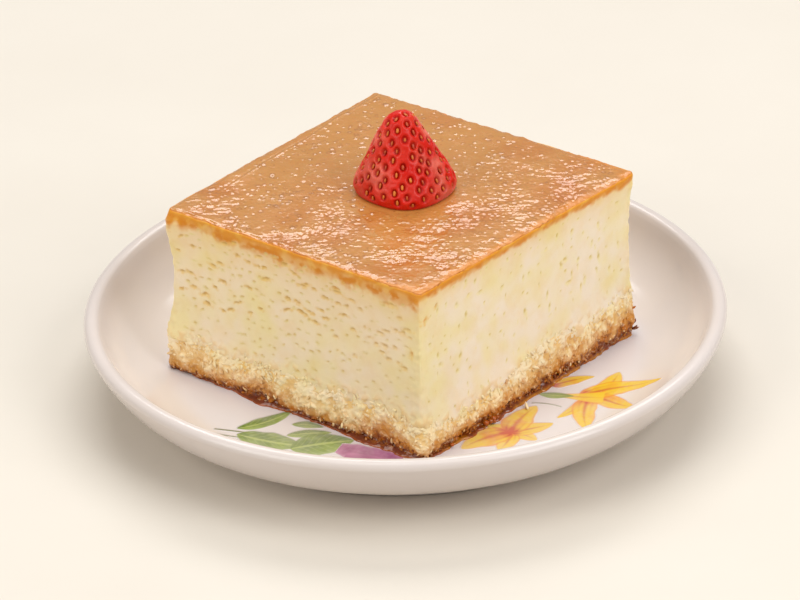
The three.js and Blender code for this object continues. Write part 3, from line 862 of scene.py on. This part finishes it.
def make_coconut(material):
    outline = Outline(COCONUT_STEPS)
    share = np.linspace(0, 1, 40)
    top = seam_height(outline) + 1.0  # up inside the custard
    reach = outline.listed(SOAK)
    teeth = 0.6 * noise(outline.level, 2.6, 25) + 0.5 * noise(outline.level, 1.0, 26)
    bottom = np.clip(BASE_Z + 0.1 + reach * (0.3 + 0.7 * teeth), BASE_Z - 0.1, BASE_Z + 2.2)
    rings = []
    for s in share:
        z = bottom + (top - bottom) * s
        swell = 0.78 * math.sin(math.pi * (0.2 + 0.8 * s)) - 0.12
        rings.append(outline.at(z, swell - 0.2 * smooth(0.8, 1.0, s)))
    rings = np.array(rings)
    grain = 0.35 * noise(rings, 2.3, 21) + 0.4 * abs(noise(rings, 1.1, 22)) + 0.22 * noise(rings, 0.7, 23)
    grain = (grain - 0.12) * (1 - 0.4 * smooth(0.7, 1.0, share))[:, None]
    rings[..., :2] += outline.normal[None] * grain[..., None]
    rings[..., 2] += 0.25 * noise(rings, 1.6, 24) * smooth(0.0, 0.1, share)[:, None]
    # painted light and shade: coconut that stands out is painted pale, the hollows darker and golden
    painted_light = smooth(-0.15, 0.4, grain)
    tint, soak = coconut_tint(rings, share[:, None], reach[None, :], painted_light)
    lofted_piece("coconut_layer", rings, material, "coconut", "coconut_base", tint, soak=soak)
    return outline, rings, reach


def shred_shape(length, width, thickness, curl, sides=6, steps=5):
    """A small bent flake round the X axis: rings of points."""
    t = np.linspace(-1, 1, steps)
    a = np.linspace(0, 2 * np.pi, sides, endpoint=False)
    taper = np.sqrt(np.clip(1 - abs(t) ** 2.6, 0, 1)) * 0.9 + 0.1
    rings = np.empty((steps, sides, 3))
    rings[..., 0] = (t * length / 2)[:, None]
    rings[..., 1] = width / 2 * taper[:, None] * np.cos(a)
    rings[..., 2] = thickness / 2 * taper[:, None] * np.sin(a) + (curl * (t**2 - 0.5))[:, None]
    return rings


def joined(name, shapes, tints, soaks, material, slot):
    """Many small closed shapes as one piece, each with its tint and wetness."""
    points, faces, colours, wet, first = [], [], [], [], 0
    for rings, tint, soak in zip(shapes, tints, soaks):
        own_points, own_faces = lofted(rings)
        faces += [[first + i for i in face] for face in own_faces]
        first += len(own_points)
        points.append(own_points)
        colours.append(np.broadcast_to(tint, own_points.shape))
        wet.append(np.full(len(own_points), soak))
    piece(name, np.concatenate(points), faces, material, slot,
          colour=np.concatenate(colours), soak=np.concatenate(wet))


def flake_axes(normal, turn, lean):
    """Outward from a side, and the directions along, across and through a flake that lies on it."""
    outward = np.array([*normal, 0.0])
    around = np.array([-outward[1], outward[0], 0.0])
    flat = math.cos(turn) * around + math.sin(turn) * np.array([0, 0, 1])
    along = flat * math.cos(lean) + outward * math.sin(lean)
    across = np.cross(outward, along)
    across /= np.linalg.norm(across)
    return outward, np.stack([along, across, np.cross(along, across)])


def make_shreds(outline, rings, reach, material):
    """Coconut shreds that stand out of the layer's cut side."""
    count = 2600
    likely = np.where(outline.side < 2, 1.0, 0.75) / np.array(CUSTARD_STEPS)[outline.side]
    picks = rng.choice(outline.count, count, p=likely / likely.sum())
    shapes, tints, soaks = [], [], []
    for column in picks:
        row = int(rng.integers(0, len(rings)))
        hanging = rng.uniform() < 0.05
        turn = math.pi / 2 + rng.normal(0, 0.4) if hanging else rng.uniform(0, math.pi)
        row = int(rng.integers(0, 5)) if hanging else row
        outward, axes = flake_axes(outline.normal[column], turn, rng.normal(0, 0.35))
        length = rng.uniform(0.8, 1.8) if rng.uniform() < 0.93 else rng.uniform(1.8, 3.2)
        shape = shred_shape(length, rng.uniform(0.45, 0.9), rng.uniform(0.35, 0.6), rng.uniform(-0.15, 0.15))
        share = row / len(rings)
        sunk = 0.3 * float(smooth(0.75, 1.0, share))  # over the seam they lie on the custard
        spot = rings[row, column] + outward * (sunk + rng.uniform(-0.35, 0.0))
        world = spot + shape @ axes
        world[..., 2] += max(0.0, BASE_Z + 0.2 - world[..., 2].min())
        drawn_up = 0.2 if hanging else reach[column] * rng.uniform(0.7, 1.25)
        painted_lit_side = smooth(-0.2, 0.28, shape[..., 2].ravel())  # painted shade and bounce light: the side that lies inward is painted golden, the outward side pale
        painted_lit_side = np.append(painted_lit_side, [0.5, 0.5]) * rng.uniform(0.5, 1)
        tint, soak = coconut_tint(np.tile(spot, (len(painted_lit_side), 1)), share, drawn_up, painted_lit_side)
        shapes.append(world)
        tints.append(tint)
        soaks.append(float(soak[0]))
    joined("coconut_shreds", shapes, tints, soaks, material, "coconut")


# ---- dark caramel on the plate ----


THIN_CARAMEL = srgb(170, 84, 18)
GOLDEN_CARAMEL = srgb(186, 118, 14)
DEEP_CARAMEL = srgb(112, 46, 12)
POOL_WALL = -0.1  # where the soaked underside of the slab rises out of the pool
POOL_PROFILE = [
    # share of the way from the pool's edge in to the slab, height
    (0.0, 0.0), (0.0, 0.12), (0.06, 0.3), (0.16, 0.46), (0.34, 0.62), (0.58, 0.76), (0.8, 0.95),
    (0.93, 1.25), (1.0, 1.6), (1.0, 1.95), (1.12, 2.2), (1.6, 2.3),
]


LOOSE_BITS = [
    # x, y, height of the middle, length, turn, lift, colour
    (41.7, -5.1, 7.75, 3.0, -0.7, -0.2, COCONUT_LIGHT),
    (40.3, 40.2, 8.6, 2.6, 0.6, 0.2, SOAKED),
    (40.9, 39.4, 9.4, 2.4, 0.2, 0.7, SOAKED),
    (40.4, 38.2, 10.4, 2.0, 0.0, 0.3, SOAKED_LIGHT),
    (39.9, 40.6, 10.2, 1.8, 0.9, 0.9, SOAKED),
    (40.2, 39.9, 14.6, 1.5, 0.5, 0.3, SOAKED_LIGHT),
]
BUBBLES = [
    # run along the right side, out from the slab, radius
    (21.6, 1.0, 0.8), (23.1, 1.3, 0.65), (24.4, 1.0, 0.75), (25.7, 1.2, 0.5), (23.6, 2.0, 0.45),
    (9.0, 1.2, 0.5),
]


def make_bubbles(material):
    """Bubbles in the caramel at the foot of the right side."""
    start, end = BASE_CORNERS[1], BASE_CORNERS[2]
    along = (end - start) / np.linalg.norm(end - start)
    outward = np.array([along[1], -along[0]])
    shapes = []
    for run, out, radius in BUBBLES:
        x, y = start + along * run + outward * out
        ball = shred_shape(2 * radius, 2 * radius, 1.8 * radius, 0.0, 16, 13)
        shapes.append(ball + [x, y, WELL_Z + 0.6 + 0.5 * radius])
    tints = [THIN_CARAMEL] * len(shapes)
    joined("caramel_bubbles", shapes, tints, [1.0] * len(shapes), material, "caramel")


def make_caramel(material):
    outline = Outline(COCONUT_STEPS)
    places = outline.level
    creep = outline.listed(CREEP) - 0.3 + 0.5 * noise(places, 3.2, 41) + 0.35 * noise(places, 1.4, 42)
    floor = WELL_Z + 0.02
    rise = np.clip(0.2 + 0.4 * outline.listed(SOAK) + 0.2 * noise(places, 3, 44), 0.35, 1.5)
    rings = [outline.at(floor, creep - 0.5)]
    for inward, height in POOL_PROFILE:
        offset = creep + (POOL_WALL - creep) * min(inward, 1.0) - 3.0 * max(0.0, inward - 1.0)
        ring = outline.at(floor + height * (rise if inward > 0.2 else 1), offset)
        rough = 0.3 * noise(ring, 1.5, 45) + 0.2 * noise(ring, 0.75, 46)
        ring[:, :2] += outline.normal * (rough * float(smooth(0.7, 1.4, height)))[:, None]
        ring[:, 2] += 0.1 * noise(ring, 1.2, 48) * float(smooth(0.3, 0.6, height))
        rings.append(ring)
    rings = np.array(rings)
    height = rings[..., 2] - floor
    thick = smooth(0.05, 0.6, height)
    tint = blend(THIN_CARAMEL, DEEP_CARAMEL, thick)
    golden = (outline.side == 1) * smooth(-0.1, 0.3, noise(rings, 5, 49)) * smooth(0.9, 0.3, height)
    tint = blend(tint, GOLDEN_CARAMEL, golden * 0.8)
    lighter = smooth(-0.1, 0.6, noise(rings, 1.3, 47)) * 0.8 * smooth(0.5, 1.2, height)
    tint = blend(tint, SOAKED_LIGHT, lighter)
    lofted_piece("caramel_pool", rings, material, "caramel", "caramel_base", tint)
    return outline, rings


def make_soaked_bits(outline, rings, material):
    """Bits of coconut caught in the dark caramel at the foot of the slab."""
    count = 900
    likely = np.where(outline.side == 0, 0.45, 1.0) / np.array(CUSTARD_STEPS)[outline.side]
    picks = rng.choice(outline.count, count, p=likely / likely.sum())
    shapes, tints = [], []
    for column in picks:
        row = int(rng.integers(6, len(rings) - 2))
        turn, lean = rng.uniform(0, math.pi), rng.normal(0, 0.3)
        outward, axes = flake_axes(outline.normal[column], turn, lean)
        shape = shred_shape(rng.uniform(0.6, 1.5), rng.uniform(0.4, 0.8), rng.uniform(0.35, 0.6), 0.0)
        world = rings[row, column] + outward * rng.uniform(-0.1, 0.2) + shape @ axes
        world[..., 2] += max(0.0, WELL_Z + 0.1 - world[..., 2].min())
        shapes.append(world)
        tints.append(blend(SOAKED, SOAKED_LIGHT, rng.uniform() ** 1.3))
    for x, y, z, length, turn, lift, tint in LOOSE_BITS:
        stand = np.array(Euler((0, -lift, turn)).to_matrix())
        shapes.append(np.array([x, y, z]) + shred_shape(length, 0.75, 0.6, 0.25) @ stand.T)
        tints.append(tint)
    joined("soaked_coconut_bits", shapes, tints, [0.7] * len(shapes), material, "caramel")


# ---- caramel skin ----

SKIN_CELLS = 300
TOFFEE = srgb(190, 132, 66)
DEEP_TOFFEE = srgb(182, 108, 40)
EDGE_GOLD = srgb(211, 132, 40)
EDGE_BROWN = srgb(192, 108, 32)
BUBBLE_BROWN = srgb(142, 84, 36)
DIAGONAL = math.radians(40.5)  # the wrinkles run across the slab from corner to corner


def skin_relief(x, y, edge):
    """Height of the skin's face above its level, and how wrinkled it is there."""
    across = x * math.cos(DIAGONAL) + y * math.sin(DIAGONAL)
    deep = -x * math.sin(DIAGONAL) + y * math.cos(DIAGONAL)
    places = np.dstack([across, deep, 0 * x])
    near = smooth(20, -20, deep)
    right = smooth(6, 34, across) * smooth(34, -4, deep)
    patchy = smooth(-0.35, 0.4, noise(places, 8, 61))
    berry = np.hypot(x - BERRY_CENTRE[0], y - BERRY_CENTRE[1])
    clear = smooth(11.5, 17, berry)
    crinkled = np.clip(near + 0.6 * right, 0, 1) * (0.25 + 0.75 * patchy) * clear
    ripples = 0.3 * fractal(places * [1, 1.5, 1], 3.8, 62, 2)
    ripples = ripples - 0.18 * abs(noise(places * [1, 1.4, 1], 1.7, 65))
    ripples = ripples - 0.29 * abs(noise(places, 0.85, 60)) + 0.26 * noise(places, 6, 72)
    calm = fractal(places, 8, 66, 2) * 0.10
    tiny = noise(places, 1.0, 69) * 0.02
    relief = calm * clear + ripples * crinkled + tiny
    fold_x = x + 37.0 + 0.056 * y - 0.3 * np.sin(y * 0.21) + 0.3 * noise(places, 3, 73)
    broken = 0.11 + 0.07 * noise(places, 5, 74)
    fold = np.exp(-((fold_x / 0.35) ** 2)) * broken - 0.1 * np.exp(-(((fold_x + 0.6) / 0.35) ** 2))
    relief = relief + fold * smooth(-30, -20, y)
    roll = 1.4 + 1.2 * smooth(10, 38, x)
    lip = 0.22 + 0.12 * noise(places, 2.5, 71) + 0.14 * noise(places, 1.2, 89)
    lip = lip * smooth(roll, 0.0, edge + 0.35 * noise(places, 1.5, 90))
    drawn_up = 0.14 * smooth(13.0, 11.9, berry)  # the caramel clings to the strawberry
    return relief - lip + drawn_up, crinkled


def scatter_bubbles(x, y, relief, crinkled):
    """Small blisters and burst bubbles over the calmer part of the skin: its height, and their rings."""
    count = 1250
    spots = rng.uniform(-38, 38, (count, 2))
    sizes = rng.uniform(0.38, 0.8, count)
    rises = rng.uniform(0.06, 0.17, count) * rng.choice([1, 1, 1, -1], count)
    tree = KDTree(x.size)
    for i, (px, py) in enumerate(zip(x.ravel(), y.ravel())):
        tree.insert((px, py, 0), i)
    tree.balance()
    height, calm = relief.ravel(), 1 - 0.6 * crinkled.ravel()
    rings = np.zeros(x.size)
    for spot, size, rise in zip(spots, sizes, rises):
        if np.hypot(*(spot - BERRY_CENTRE)) < 13:
            continue
        for _, i, distance in tree.find_range((*spot, 0), size):
            share = distance / size
            height[i] += rise * (1 - share**2) ** 2 * calm[i]
            rings[i] = max(rings[i], math.exp(-(((share - 0.8) / 0.3) ** 2)))
    return height.reshape(x.shape), rings.reshape(x.shape)


def skin_face(rim):
    """Grid points between the four sides of the rim, and each one's distance from the nearest side."""
    n = SKIN_CELLS + 1
    sides = [rim[np.arange(k * SKIN_CELLS, k * SKIN_CELLS + n) % len(rim)] for k in range(4)]
    front, right, back, left = sides[0], sides[1], sides[2][::-1], sides[3][::-1]
    u = np.linspace(0, 1, n)[None, :, None]
    v = np.linspace(0, 1, n)[:, None, None]
    face = front[None] * (1 - v) + back[None] * v + left[:, None] * (1 - u) + right[:, None] * u
    face = face - (front[0] * (1 - u) + front[-1] * u) * (1 - v) - (back[0] * (1 - u) + back[-1] * u) * v
    edge = np.minimum(np.minimum(u, 1 - u), np.minimum(v, 1 - v))[..., 0] * SIDE_LENGTH
    return face, edge


def skin_finish(face, edge, relief, crinkled, bubble_rings):
    """Tint and dullness of the skin's upper face."""
    right_edge = smooth(10, 38, face[..., 0])
    golden = smooth(0.5 + 2.8 * right_edge, 0.1, edge + (0.4 + 1.2 * right_edge) * noise(face, 2.0, 67))
    near_corner = np.hypot(face[..., 0] - 37, face[..., 1] + 38) + 1.5 * noise(face, 3, 70)
    golden = np.maximum(golden, smooth(7, 1.5, near_corner))
    deep = smooth(-0.1, 0.7, noise(face, 10, 68)) * 0.5 + 0.15 * crinkled
    deep = deep + 0.6 * smooth(-0.02, -0.3, relief) * crinkled  # painted shade: the wrinkles' valleys are painted darker
    tint = blend(blend(TOFFEE, DEEP_TOFFEE, np.clip(deep, 0, 1)), EDGE_GOLD, golden * 0.75)
    tint = blend(tint, BUBBLE_BROWN, bubble_rings * smooth(-0.4, 0.6, noise(face, 5, 88)) * 0.6)
    dull = smooth(1.6 + 0.9 * right_edge, 0.3, edge + (0.5 + 0.7 * right_edge) * noise(face, 2.2, 87))
    return tint.reshape(-1, 3), (dull * (0.3 + 0.5 * right_edge)).ravel()


def wandering(outline, ring, places):
    """The ring, moved in and out along the slab's uneven upper edge."""
    ring[:, :2] += outline.normal * (edge_wave(ring) + 0.12 * noise(places, 1.2, 75))[:, None]
    return ring


def make_skin(material):
    outline = Outline((SKIN_CELLS - 8,) * 4)
    rim = outline.at(TOP_Z, -0.25)
    face, edge = skin_face(wandering(outline, rim, rim))
    relief, crinkled = skin_relief(face[..., 0], face[..., 1], edge)
    relief, bubble_rings = scatter_bubbles(face[..., 0], face[..., 1], relief, crinkled)
    face[..., 2] = TOP_Z + relief - 0.12
    tint, dull = skin_finish(face, edge, relief, crinkled, bubble_rings)
    upper = face.reshape(-1, 3)
    number = np.arange(len(upper)).reshape(edge.shape)
    border = np.concatenate([number[0, :-1], number[:-1, -1], number[-1, :0:-1], number[:0:-1, 0]])
    # the edge, from the face down to the underside
    rings = []
    for inset, drop in ((-0.08, 0.12), (0.0, 0.26), (0.0, 0.44), (-0.4, 0.85)):
        ring = outline.at(upper[border, 2] - drop, inset)
        ring = wandering(outline, ring, ring * [1, 1, 0.4])
        ring[:, 2] += 0.08 * noise(ring, 3.0, 64)
        rings.append(ring)
    side = np.concatenate([*rings, rings[-1].mean(0)[None]])
    faces = grid_faces(*edge.shape, wrap=False)
    rows = [border.tolist()]
    for k in range(len(rings)):
        first = len(upper) + k * outline.count
        rows.append(list(range(first, first + outline.count)))
    for over, under in zip(rows, rows[1:]):
        faces += list(zip(under, following(under), following(over), over))
    middle = len(upper) + len(side) - 1
    faces += [(middle, b, a) for a, b in zip(rows[-1], following(rows[-1]))]
    points = np.concatenate([upper, side])
    side_tint = blend(EDGE_GOLD, EDGE_BROWN, smooth(-0.4, 0.5, fractal(side, 3.0, 86)))
    piece("caramel_skin_sheet", points, faces, material, "caramel_skin", "caramel_top",
          colour=np.concatenate([tint, side_tint]), dull=np.append(dull, np.full(len(side), 0.8)))


# ---- strawberry ----

RED = srgb(213, 22, 2)
DEEP_RED = srgb(176, 12, 4)
DENT_SHADE_RED = srgb(156, 10, 4)
# painted sheen on the strawberry's flanks
SHEEN_RED = srgb(232, 124, 104)
SEED_GOLD = srgb(226, 132, 44)
SEED_BROWN = srgb(178, 52, 18)


def berry_profile(count):
    """Radius and drop below the tip at even steps along the outline, by a smooth curve."""
    knots = np.array(BERRY_OUTLINE, float)
    knots = np.vstack([knots[1] * [-1, 1], knots, 2 * knots[-1] - knots[-2]])
    fine = []
    for k in range(1, len(knots) - 2):
        p0, p1, p2, p3 = knots[k - 1:k + 3]
        t = np.linspace(0, 1, 24, endpoint=False)[:, None]
        fine.append(0.5 * (2 * p1 + (p2 - p0) * t + (2 * p0 - 5 * p1 + 4 * p2 - p3) * t**2
                           + (3 * p1 - p0 - 3 * p2 + p3) * t**3))
    fine = np.vstack([*fine, knots[-2:-1]])
    steps = np.concatenate([[0], np.cumsum(np.linalg.norm(np.diff(fine, axis=0), axis=1))])
    want = np.linspace(0, steps[-1], count)
    return np.column_stack([np.interp(want, steps, fine[:, 0]), np.interp(want, steps, fine[:, 1])])


def berry_point(radius, drop, angle):
    """A place on the strawberry: distance from its axis, drop below its tip and turn round it."""
    edge = 1 + 0.035 * np.cos(4 * (angle + 0.86)) + 0.015 * np.cos(3 * angle + 1)
    lean = 1 - drop / BERRY_HEIGHT
    x = BERRY_CENTRE[0] + BERRY_LEAN[0] * lean + radius * edge * np.cos(angle)
    y = BERRY_CENTRE[1] + BERRY_LEAN[1] * lean + radius * edge * np.sin(angle)
    return np.stack([x, y, TOP_Z + 0.1 + BERRY_HEIGHT - drop + 0 * x], -1)


def seed_sites():
    """Places of the seeds, spread evenly over the berry by the golden angle."""
    profile = berry_profile(400)
    area = np.cumsum(np.maximum(profile[:, 0], 0.4))
    area /= area[-1]
    count = 140
    shares = (np.arange(count) + 0.8) / count
    radius = np.interp(shares, area, profile[:, 0])
    drop = np.interp(shares, area, profile[:, 1])
    angle = np.arange(count) * math.pi * (3 - math.sqrt(5)) + rng.normal(0, 0.05, count)
    keep = (radius > 0.8) & (drop < BERRY_HEIGHT - 0.9)
    return radius[keep], drop[keep], angle[keep]


def make_berry(flesh, sites):
    """The strawberry's body, dented round its seeds."""
    rows, columns = 150, 216
    profile = berry_profile(rows)[::-1]
    angle = np.linspace(0, 2 * np.pi, columns, endpoint=False)[None, :]
    radius, drop = profile[:, :1], profile[:, 1:]
    rings = berry_point(np.maximum(radius, 0.02), drop, angle)
    slope = np.gradient(profile, axis=0)
    slope /= np.linalg.norm(slope, axis=1)[:, None]
    out, up = -slope[:, 1:], -slope[:, :1]  # outward in the plane of the profile
    outward = np.stack([out * np.cos(angle), out * np.sin(angle), up + 0 * angle], -1)
    flatter = [1, 1, 0.8]  # the seeds' dents are taller than wide
    tree = KDTree(len(sites))
    for i, site in enumerate(sites):
        tree.insert(site * flatter, i)
    tree.balance()
    reach = np.array([tree.find(p)[2] for p in rings.reshape(-1, 3) * flatter]).reshape(rows, columns)
    dent = 0.6 * smooth(1.15, 0.55, reach) + 0.4 * smooth(0.5, 5.0, radius)
    swell = 0.12 * np.exp(-(((reach - 1.5) / 0.4) ** 2))
    lumps = 0.25 * noise(rings, 6.5, 81) + 0.03 * noise(rings, 0.9, 82)
    keep_flat = smooth(0.0, 0.05, (BERRY_HEIGHT - drop) / BERRY_HEIGHT)
    rings = rings + outward * ((swell - dent + lumps) * keep_flat)[..., None]
    # painted sheen: the sides turned away from the near corner are painted a pale pinkish red
    facing_unsheened = smooth(0.66, 0.98, np.cos(angle - BERRY_UNSHEENED_TURN + 0.25 * noise(rings, 6, 84)))
    painted_sheen = smooth(-0.6, 0.5, noise(rings, 4, 83)) * (1 - 0.85 * facing_unsheened) * smooth(0.4, 1.1, reach)
    tint = blend(RED, SHEEN_RED, painted_sheen * 0.8)
    tint = blend(tint, DEEP_RED, smooth(-0.1, 0.6, noise(rings, 5, 85)) * 0.3)
    # painted shade: the dents round the seeds are painted darker
    tint = blend(tint, DENT_SHADE_RED, smooth(1.1, 0.6, reach) * 0.6)
    lofted_piece("strawberry_body", rings, flesh, "strawberry", "strawberry", tint)


def make_strawberry(flesh, husk):
    radii, drops, angles = seed_sites()
    make_berry(flesh, berry_point(radii, drops, angles))
    outline = berry_profile(200)
    shapes, tints = [], []
    for radius, drop, angle in zip(radii, drops, angles):
        here = berry_point(radius, drop, angle)
        above = berry_point(np.interp(drop - 0.4, outline[:, 1], outline[:, 0]), drop - 0.4, angle)
        along = (above - here) / np.linalg.norm(above - here)
        side = np.array([-math.sin(angle), math.cos(angle), 0.0])
        normal = np.cross(side, along)
        if normal @ np.array([math.cos(angle), math.sin(angle), 0.3]) < 0:
            normal = -normal
        shape = shred_shape(1.2 * rng.uniform(0.75, 1.15), 0.66 * rng.uniform(0.7, 1.15), 0.44, 0.0, 10, 8)
        sunk = 0.26 + 0.4 * float(smooth(0.5, 5.0, radius))
        shapes.append(here - normal * sunk + shape @ np.stack([along, side, normal]))
        tints.append(blend(SEED_GOLD, SEED_BROWN, rng.uniform() ** 0.8))
    joined("strawberry_seeds", shapes, tints, [0.0] * len(shapes), husk, "strawberry")


# ---- stage ----


def make_floor():
    m = Shader("floor_finish", Roughness=0.75)
    m.colour(m.mix(srgb(222, 215, 204), srgb(216, 208, 196), m.noise(60, 3)))
    m.bump(m.noise(2.5, 3), 0.05, 0.2)
    half = 4000
    corners = [(-half, -half, 0), (half, -half, 0), (half, half, 0), (-half, half, 0)]
    obj = meshed("floor", corners, [(0, 1, 2, 3)], m.material)


def softbox(name, turn, lift, distance, size, power, colour=(1, 1, 1)):
    """An area lamp aimed at the slab: turn in degrees from the camera's side, anticlockwise."""
    a = math.radians(turn - 90) + VIEW_TURN
    e = math.radians(lift)
    back = Vector((math.cos(a) * math.cos(e), math.sin(a) * math.cos(e), math.sin(e)))
    data = bpy.data.lights.new(name, "AREA")
    data.shape = "RECTANGLE"
    data.size, data.size_y = size
    data.energy = power
    data.color = colour
    lamp = placed(name, data)
    lamp.location = Vector((0, 0, 0.03)) + back * distance
    lamp.rotation_mode = "QUATERNION"
    lamp.rotation_quaternion = back.to_track_quat("Z", "Y")


def make_lights():
    softbox("right_box", 52, 38, 1.1, (0.7, 0.7), 6.5)
    softbox("left_box", -58, 34, 1.1, (0.6, 0.7), 4.6, (1.0, 0.98, 0.93))
    softbox("back_box", 176, 52, 1.2, (1.0, 0.5), 7.4)
    softbox("top_box", 0, 86, 1.3, (0.8, 0.8), 4.8)
    world = bpy.data.worlds.new("studio")
    world.use_nodes = True
    background = world.node_tree.nodes["Background"]
    background.inputs["Color"].default_value = (1.0, 0.97, 0.93, 1)
    background.inputs["Strength"].default_value = 0.31
    bpy.context.scene.world = world


def make_camera():
    at, to = Vector(CAMERA_AT) * MM, Vector(CAMERA_TO) * MM
    back = (at - to).normalized()
    right = Vector((0, 0, 1)).cross(back).normalized()
    up = back.cross(right)
    turned_right = right * math.cos(CAMERA_ROLL) + up * math.sin(CAMERA_ROLL)
    turned_up = up * math.cos(CAMERA_ROLL) - right * math.sin(CAMERA_ROLL)
    data = bpy.data.cameras.new("camera")
    data.lens, data.sensor_width = CAMERA_LENS, 36.0
    camera = placed("camera", data)
    turn = Matrix((turned_right, turned_up, back)).transposed()
    camera.matrix_world = Matrix.Translation(at) @ turn.to_4x4()
    bpy.context.scene.camera = camera


# ---- the whole ----

make_camera()
glazed = porcelain()
make_plate(glazed)
make_print(glazed)
make_custard(custard_flesh())
coconut = coconut_flesh()
make_shreds(*make_coconut(coconut), coconut)
caramel = wet_caramel()
make_soaked_bits(*make_caramel(caramel), coconut)
make_bubbles(caramel)
make_skin(caramel_skin_finish())
make_strawberry(strawberry_flesh(), seed_husk())
make_floor()
make_lights()
bpy.context.scene.view_settings.view_transform = "Standard"
